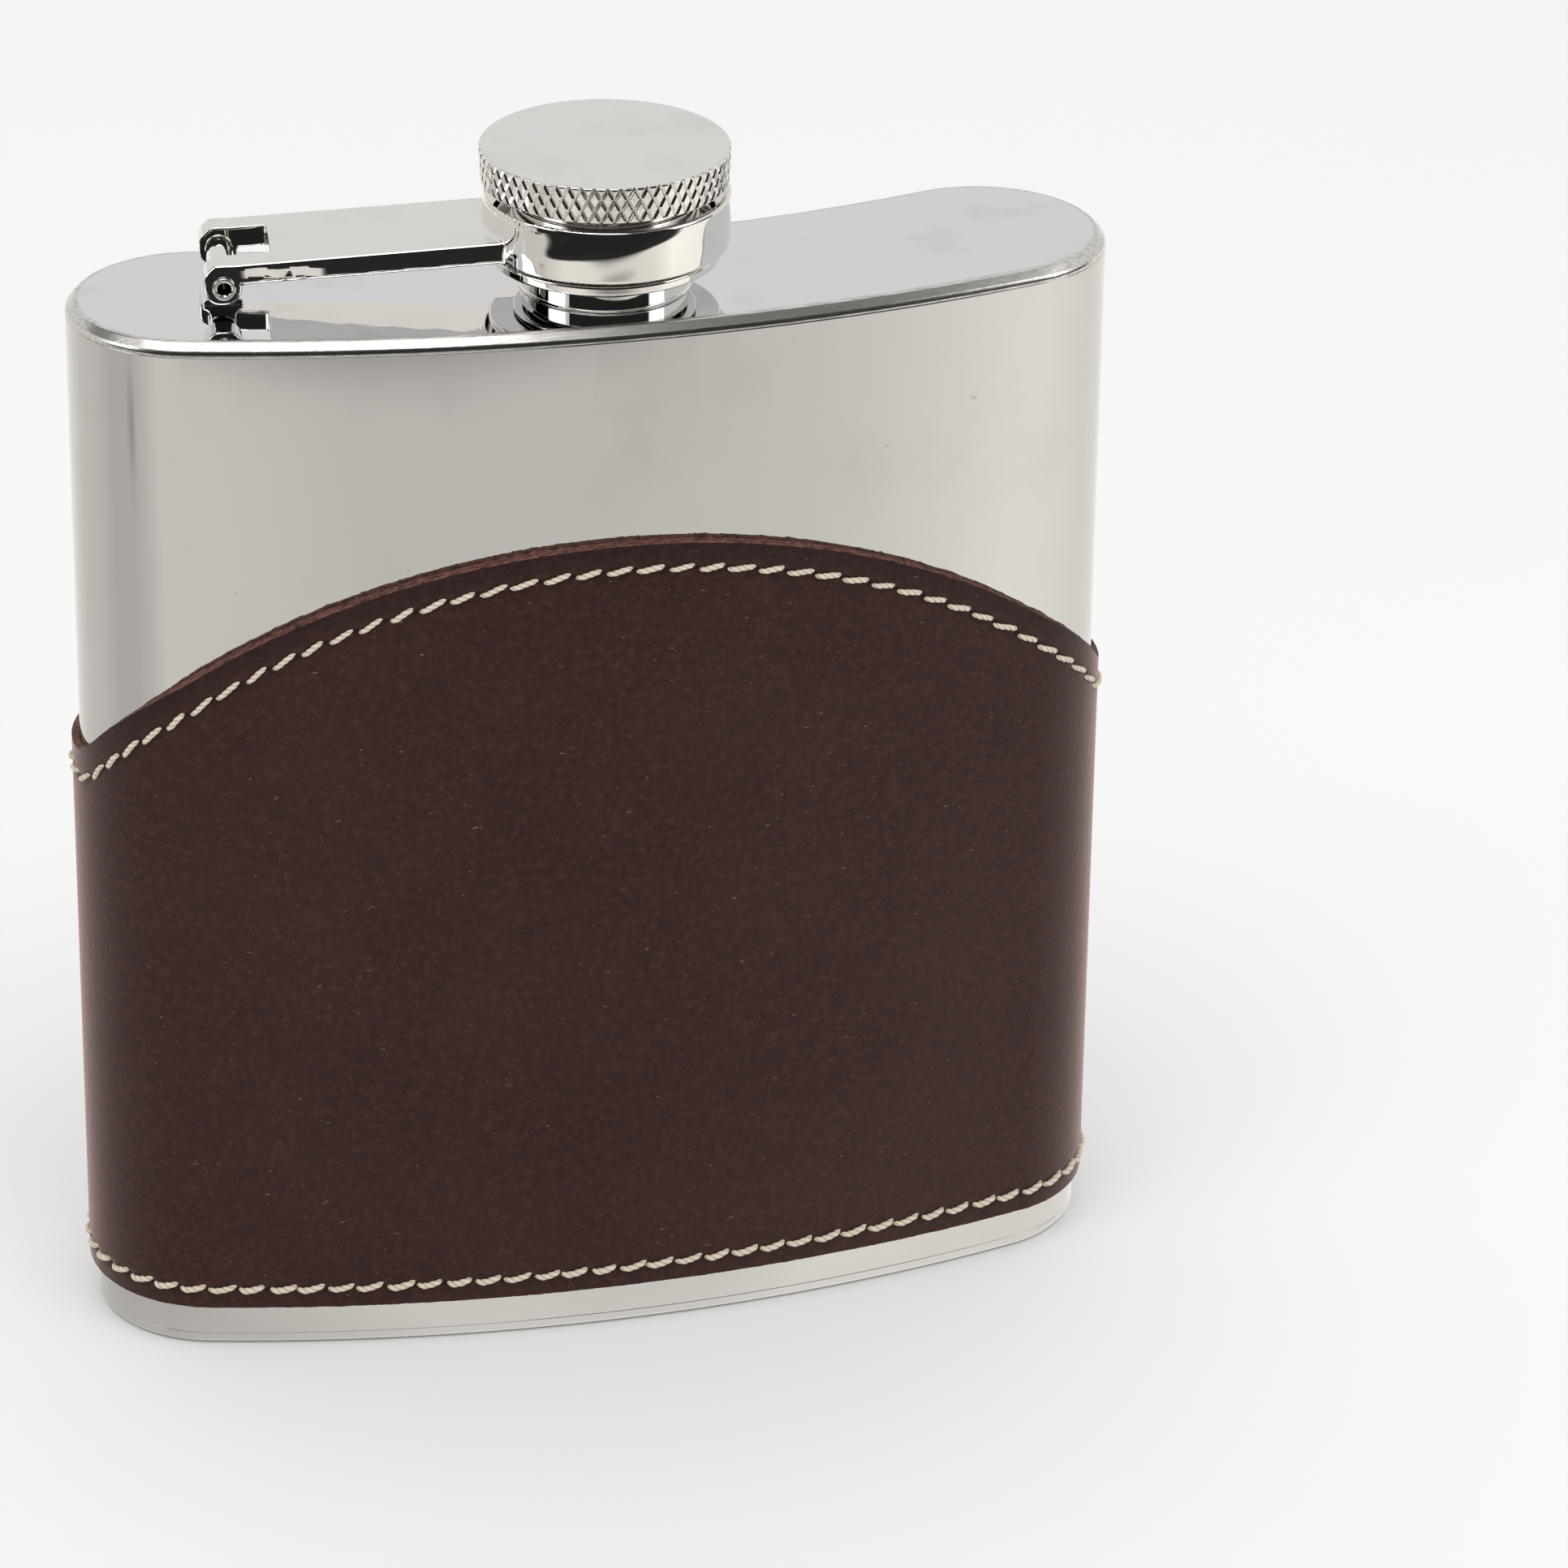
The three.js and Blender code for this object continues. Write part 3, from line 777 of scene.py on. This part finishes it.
def knurl(angle, height):
    """How deep the knurl's two crossing sets of grooves cut, 0 to 1."""
    pitch = 2 * math.pi * HEAD_RADIUS / KNURLS
    deepest = np.zeros(np.broadcast(angle, height).shape)
    for lean in (-1, 1):
        along = (angle * HEAD_RADIUS + lean * math.tan(KNURL_LEAN) * height) / pitch
        off = np.abs(along - np.round(along)) * pitch
        deepest = np.maximum(deepest, np.clip(1 - off / KNURL_HALF_WIDTH, 0, 1))
    return deepest


def cap_head():
    low, high = head_low[2], head_high[2]
    inner = HEAD_RADIUS - HEAD_WALL
    points, _ = rounded([
        (inner, low, 0.1),
        (HEAD_RADIUS, low, HEAD_LOW_ROUND),
        (HEAD_RADIUS, high, HEAD_TOP_ROUND),
        (0.0, high, 0.05),
    ], steps=6)
    keep = points[:, 0] < HEAD_RADIUS - 1e-6
    bottom = points[keep & (points[:, 1] < (low + high) / 2)]
    top = points[keep & (points[:, 1] > (low + high) / 2)]
    side_heights = np.linspace(low + HEAD_LOW_ROUND, high - HEAD_TOP_ROUND, KNURL_ROWS)
    side = np.stack([np.full_like(side_heights, HEAD_RADIUS), side_heights], axis=-1)
    rows = np.concatenate([bottom, side, top])
    angle = whole_turn(KNURLS * KNURL_STEPS)
    fade = np.clip((rows[:, 0] - (HEAD_RADIUS - KNURL_START)) / KNURL_FADE, 0, 1)[:, None]
    depth = KNURL_DEPTH * knurl(angle[None], rows[:, 1:2]) * fade
    taper = KNURL_TAPER * (high - rows[:, 1:2]) * fade
    reach = rows[:, :1] - depth - taper
    across = ray_at(angle)
    grid = upright(reach[..., None] * across[None], np.broadcast_to(rows[:, 1:2], reach.shape))
    grid[..., :2] += cap_axis[:2]
    lean = np.gradient(rows, axis=0)
    guide = upright(lean[:, None, 1:2] * across[None], -lean[:, None, 0])
    flank = surface(grid[:-1], slopes(grid, guide, LOOP)[:-1], 1, LOOP)
    disc = np.array([[rows[-2, 0], high], [0.0, high]])
    face = turned((disc, np.array([[0.0, 1.0], [0.0, 1.0]])), cap_axis, 240)
    points, normals = rounded([
        (inner, low, 0.02),
        (inner, high - HEAD_WALL, 0.2),
        (0.0, high - HEAD_WALL, 0.02),
    ])
    under = turned((points, -normals), cap_axis, 120)
    make("cap_head_skin", [flank, face, under], [SATIN, KNURLED], "cap", ["cap_head"])


def cap_insert():
    flange_top, low = insert_high[2], insert_low[2]
    flange_low = flange_top - INSERT_FLANGE
    flange = (insert_high[0] - insert_low[0]) / 2
    thread_top = INSERT_CEILING - 1.6
    thread_low = low + 0.5
    ceiling = rounded([
        (0.0, INSERT_CEILING, 0.05),
        (SKIRT_INNER, INSERT_CEILING, 0.15),
        (SKIRT_INNER, thread_top, 0.02),
    ])
    outside = rounded([
        (SKIRT_INNER, thread_low, 0.02),
        (SKIRT_INNER, low, 0.25),
        (SKIRT_OUTER, low, 0.2),
        (SKIRT_OUTER, ring_low[2] - RING_GAP, 0.05),
        (GROOVE_RADIUS, ring_low[2] - RING_GAP, 0.05),
        (GROOVE_RADIUS, ring_high[2] + RING_GAP, 0.05),
        (SKIRT_OUTER, ring_high[2] + RING_GAP, 0.05),
        (SKIRT_OUTER, flange_low, 0.3),
        (flange, flange_low, 0.15),
        (flange, flange_top, 0.15),
        (0.0, flange_top, 0.05),
    ])
    depth = THREAD_DEPTH - 0.1
    nut = threaded(SKIRT_INNER, thread_low, thread_top, depth, inside=True, phase=THREAD_PITCH / 2)
    parts = [turned(ceiling, cap_axis, 144), turned(outside, cap_axis, 144), nut]
    make("cap_insert_skin", parts, [SATIN], "cap", ["cap_insert"])


def cap_gasket():
    low, high = gasket_low[2], gasket_high[2]
    radius = (gasket_high[0] - gasket_low[0]) / 2
    profile = rounded([
        (0.0, low + GASKET_RECESS, 0.05),
        (NECK_BORE - 0.4, low + GASKET_RECESS, 0.3),
        (NECK_BORE - 0.1, low, 0.2),
        (radius, low, 0.2),
        (radius, high, 0.2),
        (0.0, high, 0.05),
    ])
    gasket = turned(profile, cap_axis, 96)
    make("cap_gasket_skin", [gasket], [RUBBER], "cap", ["cap_gasket"])


def retaining_ring():
    outer = (ring_high[0] - ring_low[0]) / 2
    profile = rounded([
        (RING_INNER, ring_low[2], 0.1),
        (outer, ring_low[2], 0.3),
        (outer, ring_high[2], 0.3),
        (RING_INNER, ring_high[2], 0.1),
    ], closed=True)
    ring = turned(profile, cap_axis, closed=True)
    make("retaining_ring_skin", [ring], [CHROME], "cap_carrier", ["retaining_ring"])


# ---- cap arm and hinge ----


def arm_distance(x, y, z):
    """The distance to the arm's surface in the hinge's frame."""
    c, s = math.cos(ARM_SLOPE), math.sin(ARM_SLOPE)
    along = x * c + (z - ARM_TOP_AT_HINGE) * s
    above = (z - ARM_TOP_AT_HINGE) * c - x * s
    end = arm_length - DRUM_RADIUS / 2
    half = (end + EAR_RADIUS / 2) / 2
    side_view = block(along - end + half, above + ARM_THICKNESS / 2, half, ARM_THICKNESS / 2, 0.25)
    shoulder = block(x + 0.1, z - 0.2, EAR_RADIUS - 0.1, ARM_TOP_AT_HINGE - 0.24, 1.5)
    side_view = joined(side_view, shoulder, 0.3)
    near_hinge = np.exp(-((x - POLISH_MIDDLE) / POLISH_REACH) ** 4)
    worn = near_hinge * (0.8 + 0.2 * np.sin(2.6 * x + 1.5 * np.sin(1.1 * x)))
    patch_top = -0.3 - 0.1 * np.sin(1.7 * x) - 0.06 * x
    draft = FLANK_DRAFT * (z - 0.5) + POLISH_DIP * worn * np.clip(patch_top - above, 0, 0.85)
    bar = thick(side_view, np.abs(y) + draft, ARM_WIDTH / 2, 0.32)
    radial = np.hypot(x - arm_length, y)
    drum_middle = (DRUM_BOTTOM + DRUM_TOP) / 2 - hinge[2]
    drum_half = (DRUM_TOP - DRUM_BOTTOM) / 2
    press_from = 0.2 + 0.8 * np.clip((x - arm_length) / DRUM_RADIUS, -1, 1)
    over = np.clip((z - drum_middle) / drum_half, -1.2, 1.2) - press_from
    pressed = DRUM_PRESS * (over + np.sqrt(over ** 2 + PRESS_SOFTNESS ** 2))
    taper = DRUM_TAPER * (DRUM_TOP - hinge[2] - z)
    drum = thick(radial + pressed + taper - DRUM_RADIUS, z - drum_middle, drum_half, 0.22)
    bore = DRUM_RADIUS - DRUM_WALL
    shell = cut(joined(bar, drum, 0.3), radial - bore, 0.12)
    web_middle = (WEB_BOTTOM + WEB_TOP) / 2 - hinge[2]
    web_half = (WEB_TOP - WEB_BOTTOM) / 2
    web = block(radial - (bore + WEB_HOLE) / 2, z - web_middle, (bore - WEB_HOLE) / 2 + 0.2, web_half, 0.15)
    casting = joined(shell, web, 0.12)
    slot = np.maximum(block(x + SLOT_END, y, 2 * SLOT_END, SLOT_HALF_WIDTH, 0.3), np.abs(z) - 4 * EAR_RADIUS)
    casting = cut(casting, slot, 0.2)
    casting = cut(casting, np.hypot(x, z) - PIN_HOLE, 0.06)
    ripple = np.sin(1.9 * x + 1.1 * y) + np.sin(2.7 * z - 1.3 * x + 0.8) + np.sin(1.5 * y + 2.3 * z)
    return casting + RIPPLE * ripple


def cap_arm():
    low = (-EAR_RADIUS - 0.5, -DRUM_RADIUS - 0.5, -EAR_RADIUS - 0.5)
    high = (arm_length + DRUM_RADIUS + 0.5, DRUM_RADIUS + 0.5, DRUM_TOP - hinge[2] + 0.5)
    casting = placed_at_hinge(skin(arm_distance, low, high))
    make("cap_arm_skin", [casting], [CHROME], "arm", ["cap_arm"])


def lug_distance(x, y, z):
    """The distance to the hinge lug's surface in the hinge's frame."""
    foot = plate_high[2] - hinge[2]
    knuckle = np.hypot(x, z) - LUG_RADIUS
    post = block(x, z - foot / 2, LUG_RADIUS - 0.1, -foot / 2, 0.05)
    base = block(x, z - foot - 0.1, LUG_FOOT_HALF_WIDTH, 0.3, 0.1)
    side_view = joined(joined(knuckle, post, 0.2), base, 0.9)
    lug = thick(side_view, y, LUG_DEPTH / 2, 0.2)
    lug = cut(lug, np.hypot(x, z) - PIN_HOLE, 0.05)
    return np.maximum(lug, foot - z)


def hinge_lug():
    foot = plate_high[2] - hinge[2]
    low = (-3.0, -LUG_DEPTH / 2 - 0.5, foot - 0.3)
    high = (3.0, LUG_DEPTH / 2 + 0.5, LUG_RADIUS + 0.5)
    lug = placed_at_hinge(skin(lug_distance, low, high, CELL / 2))
    make("hinge_lug_skin", [lug], [CHROME], "flask", ["hinge_lug"])


def hinge_pin():
    face = ARM_WIDTH / 2 + 0.1
    tip = face + 0.2
    points, normals = rounded([
        (0.0, PIN_BORE_END, 0.02),
        (PIN_BORE, PIN_BORE_END, 0.1),
        (PIN_BORE, tip - 0.5, 0.1),
        (0.66, tip, 0.12),
        (PIN_ROLL, tip, 0.1),
        (PIN_ROLL, face, 0.06),
        (PIN_RADIUS, face, 0.03),
        (PIN_RADIUS, 0.0, 0.03),
    ])
    whole = turned((points, -normals), np.zeros(3), 64)
    parts = []
    for side in (1, -1):
        lay = np.array([[side, 0, 0], [0, 0, -side], [0, 1, 0]])
        laid = {**whole, "points": whole["points"] @ lay.T, "normals": whole["normals"] @ lay.T}
        parts.append(placed_at_hinge(laid))
    make("hinge_pin_skin", parts, [CHROME], "flask", ["hinge_pin"])


# ---- leather wrap and stitches ----


def edge_height(t, inset=0.0):
    """The height of the wrap's upper edge at distances t, or of a line set in from it. It is an arch on
    the flat hide before it was wrapped, which runs smoothly into a straight line round the back."""
    across = np.asarray(t) - PERIMETER / 2
    rise = np.sqrt(np.maximum((ARCH_RADIUS - inset) ** 2 - across ** 2, 0))
    front = ARCH_TOP - ARCH_RADIUS + rise - ARCH_TILT * across
    back = BACK_EDGE - inset
    return EDGE_BLEND * np.logaddexp(front / EDGE_BLEND, back / EDGE_BLEND)


def leather_face_at(t):
    """How far the wrap's outer face stands off the wall. The hide is drawn thinner round the ends."""
    place, _ = around(t)
    end = np.clip((np.abs(place[..., 0]) - BODY_WIDTH / 2 + END_RADIUS) / END_RADIUS, 0, 1)
    return LEATHER_OFFSET - END_PULL * end ** 2


def stitch_line(pitch, height_at):
    """A row of stitches: how far along it each outline distance is, and the stitches' middles."""
    t = np.linspace(SEAM_GAP / 2, PERIMETER - SEAM_GAP / 2, 4000)
    place, _ = around(t, leather_face_at(t))
    z = height_at(t)
    steps = np.hypot(np.linalg.norm(np.diff(place, axis=0), axis=1), np.diff(z))
    run = np.concatenate([[0.0], np.cumsum(steps)])
    count = int(run[-1] // pitch)
    spare = (run[-1] - count * pitch) / 2
    middles = spare + pitch * (np.arange(count) + 0.5)
    return {"run": run, "t": t, "z": z, "middles": middles, "pitch": pitch, "height_at": height_at}


def along_line(line, run):
    """Points on the leather, outward directions and up-the-leather directions at distances along a row."""
    t = np.interp(run, line["run"], line["t"])
    z = np.interp(run, line["run"], line["z"])
    place, outward = around(t, leather_face_at(t))
    points = upright(place, z)
    normal = upright(outward, 0.0)
    step = 0.05
    t_next = np.interp(run + step, line["run"], line["t"])
    z_next = np.interp(run + step, line["run"], line["z"])
    ahead = upright(around(t_next, leather_face_at(t_next))[0], z_next) - points
    ahead /= np.linalg.norm(ahead, axis=-1, keepdims=True)
    side = np.cross(normal, ahead)
    return points, normal, side


TOP_LINE = stitch_line(TOP_STITCH_PITCH, lambda t: edge_height(t, TOP_STITCH_INSET))
BASE_LINE = stitch_line(BASE_STITCH_PITCH, lambda t: np.full(np.shape(t), LEATHER_BOTTOM + BASE_STITCH_INSET))


def dents(t, z):
    """How far the thread pulls the leather in, the painted shade at the needle holes, and how much darker the
    leather is made towards its top cut edge.
    """
    pull = np.zeros(t.shape)
    hole_shade_and_edge_dark = np.zeros(t.shape)
    for line in (TOP_LINE, BASE_LINE):
        for middle in line["middles"]:
            run = middle + line["pitch"] / 2
            hole_t = np.interp(run, line["run"], line["t"])
            hole_z = np.interp(run, line["run"], line["z"])
            near = np.abs(t - hole_t) < 2.0
            gap = np.hypot(t[near] - hole_t, z[near] - hole_z)
            pull[near] = np.maximum(pull[near], HOLE_PULL * np.exp(-(gap / HOLE_PULL_REACH) ** 2))
            # A near-black patch at each needle hole, painted shade.
            hole_shade_and_edge_dark[near] = np.maximum(hole_shade_and_edge_dark[near], np.exp(-(gap / HOLE_REACH) ** 4))
        pull += ROW_PULL * np.exp(-((z - line["height_at"](t)) / ROW_PULL_REACH) ** 2)
    # The leather is made darker towards its top cut edge.
    towards_edge = np.clip(1 - (edge_height(t) - z) / (TOP_STITCH_INSET - 0.4), 0, 1) ** 0.5
    return pull, np.maximum(hole_shade_and_edge_dark, EDGE_DARKENING * towards_edge)


# Across a cut edge, from the outer face to the glued side: the share of the hide's thickness left, and
# how far past the face's last row.
CUT_PROFILE = [
    (1.0, 0.0), (0.95, 0.06), (0.85, 0.09), (0.7, 0.11), (0.5, 0.13), (0.3, 0.15), (0.14, 0.17), (0.02, 0.1),
]


def leather_wrap():
    generator = np.random.default_rng(7)
    columns = 900
    t = np.linspace(SEAM_GAP / 2, PERIMETER - SEAM_GAP / 2, columns)
    low = np.full(columns, LEATHER_BOTTOM + EDGE_ROUND)
    high = edge_height(t) - EDGE_ROUND
    fray = np.convolve(generator.normal(0, 1, columns + 8), np.ones(5) / 5, "same")[4:-4]
    fray = 0.11 * fray + 0.035 * generator.normal(0, 1, columns)
    fine = np.linspace(0, FINE_BAND, 24)[:, None]
    share = np.linspace(0, 1, 40)[1:-1, None]
    middle = low + FINE_BAND + (high - low - 2 * FINE_BAND) * share
    z = np.concatenate([low + fine, middle, high - fine[::-1]])
    tt = np.broadcast_to(t, z.shape)
    pull, hole_shade_and_edge_dark = dents(tt, z)
    place, outward = around(tt.ravel(), leather_face_at(tt.ravel()) - pull.ravel())
    outer = upright(place, z.ravel()).reshape(z.shape + (3,))
    guide = upright(outward, 0.0).reshape(z.shape + (3,))
    face = surface(outer, slopes(outer, guide), 0)
    face["hole_shade_and_edge_dark"] = hole_shade_and_edge_dark.ravel()

    def edge_rows(height, way):
        """Rounds the cut edge over from the face to the glued side."""
        lines = []
        for share_left, rise in CUT_PROFILE:
            ragged = fray * (rise > 0)
            if way > 0:
                ragged = ragged * (0.4 + generator.random(columns) * 0.6)
            else:
                ragged = 0.35 * ragged
            place, _ = around(t, leather_face_at(t) * share_left)
            lines.append(upright(place, height + way * (rise + ragged)))
        return np.stack(lines)

    over = edge_rows(high, 1)
    upper = surface(over, slopes(over, np.broadcast_to(UP, over.shape)), 1)
    under = edge_rows(low, -1)
    lower = surface(under, slopes(under, np.broadcast_to(-UP, under.shape)), 1)
    back_place, back_outward = around(t, GLUE_GAP)
    back = np.stack([upright(back_place, low), upright(back_place, high)])
    inner = surface(back, np.broadcast_to(upright(-back_outward, 0.0), back.shape), 1)
    ends = []
    for column, way in ((0, 1.0), (-1, -1.0)):
        flat = np.array([
            [upright(around(t[[column]], grow)[0], height)[0] for grow in (GLUE_GAP, LEATHER_OFFSET)]
            for height in (low[column], high[column])
        ])
        ends.append(surface(flat, np.broadcast_to([way, 0.0, 0.0], flat.shape), 1))
    parts = [face, upper, lower, inner] + ends
    make("leather_wrap_skin", parts, [LEATHER, CUT_EDGE], "flask", ["leather_wrap"], ["hole_shade_and_edge_dark"])


def stitch(line, middle, length, radius, slant, sag):
    """One stitch: a twisted tube that rises out of a needle hole and dives into the next."""
    steps, sides = 30, 15
    u = np.linspace(-1, 1, steps)
    points, normal, side = along_line(line, middle + u * length / 2)
    lift = radius * (STITCH_STANDS - STITCH_DIVES * np.abs(u) ** 5)
    sideways = slant * np.sin(u * quarter) + sag * (u ** 2 - 0.4)
    centre = points + normal * lift[:, None] + side * sideways[:, None]
    ahead = np.gradient(centre, axis=0)
    ahead /= np.linalg.norm(ahead, axis=1, keepdims=True)
    out = normal - ahead * np.einsum("ij,ij->i", normal, ahead)[:, None]
    out /= np.linalg.norm(out, axis=1, keepdims=True)
    beside = np.cross(ahead, out)
    angle = whole_turn(sides)
    twist = u[:, None] * length / 2 * PLY_TWIST / radius
    ply = np.abs(np.cos(angle[None] - twist))
    reach = radius * (0.82 + 0.22 * ply) * (1 - 0.4 * np.abs(u[:, None]) ** 4)
    spokes = np.cos(angle)[None, :, None] * out[:, None] + np.sin(angle)[None, :, None] * beside[:, None]
    grid = centre[:, None] + reach[..., None] * spokes
    tube = surface(grid, slopes(grid, spokes, LOOP), 0, LOOP)
    # The ply mark darkens the thread between its plies: painted shade.
    tube["ply"] = ((1 - ply) ** 2 * 0.75).ravel()
    caps = []
    for row in (0, -1):
        tip = np.stack([grid[row], np.broadcast_to(centre[row], grid[row].shape)])
        way = ahead[row] * (1 if row else -1)
        caps.append(surface(tip, np.broadcast_to(way, tip.shape), 0, LOOP))
    return [tube] + caps


def stitching():
    """Two rows of hand-sewn stitches, none quite like the next."""
    generator = np.random.default_rng(11)
    rows = (
        ("top_stitching", TOP_LINE, TOP_STITCH_RADIUS, 0.19, -0.03),
        ("bottom_stitching", BASE_LINE, BASE_STITCH_RADIUS, 0.17, 0.13),
    )
    for name, line, radius, slant, sag in rows:
        parts = []
        for middle in line["middles"]:
            length = STITCH_LENGTH * generator.uniform(0.88, 1.06)
            shift = generator.normal(0, 0.06)
            lean = slant * generator.uniform(0.75, 1.25)
            parts += stitch(line, middle + shift, length, radius * generator.uniform(0.93, 1.07), lean, sag)
        make(name + "_skin", parts, [THREAD], "flask", [name], ["ply"])


# ---- studio ----


def glow(name, strength, colour=(1, 1, 1, 1)):
    made = bpy.data.materials.new(name)
    made.use_nodes = True
    made.node_tree.nodes.clear()
    light = node(made, "Emission", {"Strength": strength, "Color": colour}).outputs[0]
    node(made, "OutputMaterial", {"Surface": light})
    return made


def plain_object(name, points, faces, material):
    """An object for the studio, made straight from points in metres."""
    mesh = bpy.data.meshes.new(name)
    mesh.from_pydata(points, [], faces)
    mesh.materials.append(material)
    return linked(name, mesh)


def direction(azimuth, elevation):
    """The unit direction at an azimuth from the front, turning towards +X, and an elevation, in degrees."""
    a, e = math.radians(azimuth), math.radians(elevation)
    return Vector((math.sin(a) * math.cos(e), -math.cos(a) * math.cos(e), math.sin(e)))


SUBJECT = Vector((0.0, 0.0, 0.1))


def only_in_reflections(made):
    made.visible_camera = False
    made.visible_diffuse = False
    made.visible_shadow = False


def screen(name, azimuths, elevations, distance, brightness):
    """A curved panel round the flask that shows only in reflections, over these ranges of degrees."""
    azimuth = np.linspace(*azimuths, 13)
    elevation = np.linspace(*elevations, 9)
    grid = np.array([[list(SUBJECT + direction(a, e) * distance) for a in azimuth] for e in elevation])
    part = surface(grid, np.broadcast_to(np.array(SUBJECT) - grid, grid.shape))
    only_in_reflections(plain_object(name, part["points"], part["quads"].tolist(), glow(name, brightness)))


def softbox(name, azimuth, elevation, distance, width, height, brightness):
    """A lamp that faces the flask and is as bright as a white of this value."""
    lamp = bpy.data.lights.new(name, "AREA")
    lamp.shape = "RECTANGLE"
    lamp.size = width
    lamp.size_y = height
    lamp.energy = brightness * math.pi * width * height
    made = linked(name, lamp)
    made.location = SUBJECT + direction(azimuth, elevation) * distance
    made.rotation_euler = (made.location - SUBJECT).to_track_quat("Z", "Y").to_euler()
    made.visible_camera = False


# What the steel sees in the white floor: (azimuth, brightness), darkest left and brightest right.
FLOOR_LIGHT = [
    (-180, 1.0), (-150, 0.96), (-130, 0.83), (-105, 0.77), (-90, 0.66), (-72, 0.67), (-62, 0.75),
    (-50, 0.89), (-25, 0.89), (-12, 0.81), (8, 0.81), (30, 0.88), (40, 1.0), (50, 1.17), (70, 1.12),
    (100, 1.02), (180, 1.0),
]
# The white sheet ends in front along a straight line, where its brightness falls away: (metres, share).
SHEET_FACING = -5
SHEET_FALL = [(0.228, 1.0), (0.24, 0.75), (0.262, 0.25), (0.29, 0.03)]


def floor_glow():
    """A skin on the floor that only reflections see, with a dark front and a dark spot at the left."""
    radius = np.concatenate([[0.0, 0.05, 0.12], np.arange(0.17, 0.3, 0.005), np.geomspace(0.3, 3.0, 24)])
    azimuth = np.linspace(-180, 180, 181)[:-1]
    a = np.radians(azimuth)
    across = np.stack([np.sin(a), -np.cos(a)], axis=-1)
    grid = upright(radius[:, None, None] * across[None], 0.0002)
    light = np.interp(azimuth, *zip(*FLOOR_LIGHT))[None] * np.ones((len(radius), 1))
    forward = radius[:, None] * np.cos(np.radians(azimuth - SHEET_FACING))[None]
    light *= np.interp(forward, *zip(*SHEET_FALL))
    spot = np.exp(-((azimuth[None] + 72) / 2.5) ** 2 - ((radius[:, None] - 0.25) / 0.014) ** 2)
    light *= 1 - 0.4 * spot
    part = surface(grid, np.broadcast_to(UP, grid.shape), 0, LOOP)
    material = glow("floor_glow", 1.0, (1.0, 0.975, 0.93, 1))
    strength = node(material, "Attribute", attribute_name="light").outputs["Fac"]
    material.node_tree.links.new(strength, material.node_tree.nodes["Emission"].inputs["Strength"])
    faces = [list(dict.fromkeys(quad)) for quad in part["quads"].tolist()]
    made = plain_object("floor_glow", part["points"], faces, material)
    attribute = made.data.attributes.new("light", "FLOAT", "POINT")
    attribute.data.foreach_set("value", light.ravel().astype(np.float32))
    only_in_reflections(made)


def studio():
    reach = 3.0
    corners = [(-reach, -reach, 0), (reach, -reach, 0), (reach, reach, 0), (-reach, reach, 0)]
    plain_object("floor", corners, [(0, 1, 2, 3)], studio_floor())
    floor_glow()

    world = bpy.data.worlds.new("studio")
    world.use_nodes = True
    background = world.node_tree.nodes["Background"]
    background.inputs["Color"].default_value = (1.0, 0.998, 0.99, 1)
    background.inputs["Strength"].default_value = 0.8
    bpy.context.scene.world = world

    softbox("overhead", -15, 66, 0.8, 0.9, 0.45, 2.0)
    screen("backdrop", (80, 260), (3, 60), 0.9, 0.8)
    screen("front_flag", (-62, 48), (2, 46), 0.5, 0.02)
    screen("horizon_flag", (-86, 94), (-9, 9), 0.52, 0.02)
    screen("top_flag", (12, 76), (47, 84), 0.6, 0.12)
    screen("left_flag", (-140, -98), (26, 62), 0.6, 0.2)
    screen("left_panel", (-94, -68), (12, 40), 0.55, 2.6)
    screen("right_panel", (50, 74), (12, 40), 0.55, 2.6)


def camera():
    """The eye, the aim and the roll were solved from the object's own edges."""
    azimuth, elevation, roll, distance = -15.096, 26.328, 0.862, 0.62087
    target = Vector((0.017774, 0.001894, 0.045248))
    a, r = math.radians(azimuth), math.radians(roll)
    back = direction(azimuth, elevation)
    right = Vector((math.cos(a), math.sin(a), 0.0))
    up = back.cross(right)
    rolled_right = math.cos(r) * right + math.sin(r) * up
    rolled_up = math.cos(r) * up - math.sin(r) * right
    lens = bpy.data.cameras.new("camera")
    lens.lens = 157.444
    lens.sensor_width = 36.0
    lens.clip_start = 0.01
    lens.clip_end = 20.0
    made = linked("camera", lens)
    turn = Matrix((rolled_right, rolled_up, back)).transposed()
    made.matrix_world = Matrix.Translation(target + back * distance) @ turn.to_4x4()
    bpy.context.scene.camera = made


body_wall()
plates()
neck()
cap_head()
cap_insert()
cap_gasket()
retaining_ring()
cap_arm()
hinge_lug()
hinge_pin()
leather_wrap()
stitching()
studio()
camera()
bpy.context.scene.view_settings.view_transform = "Standard"
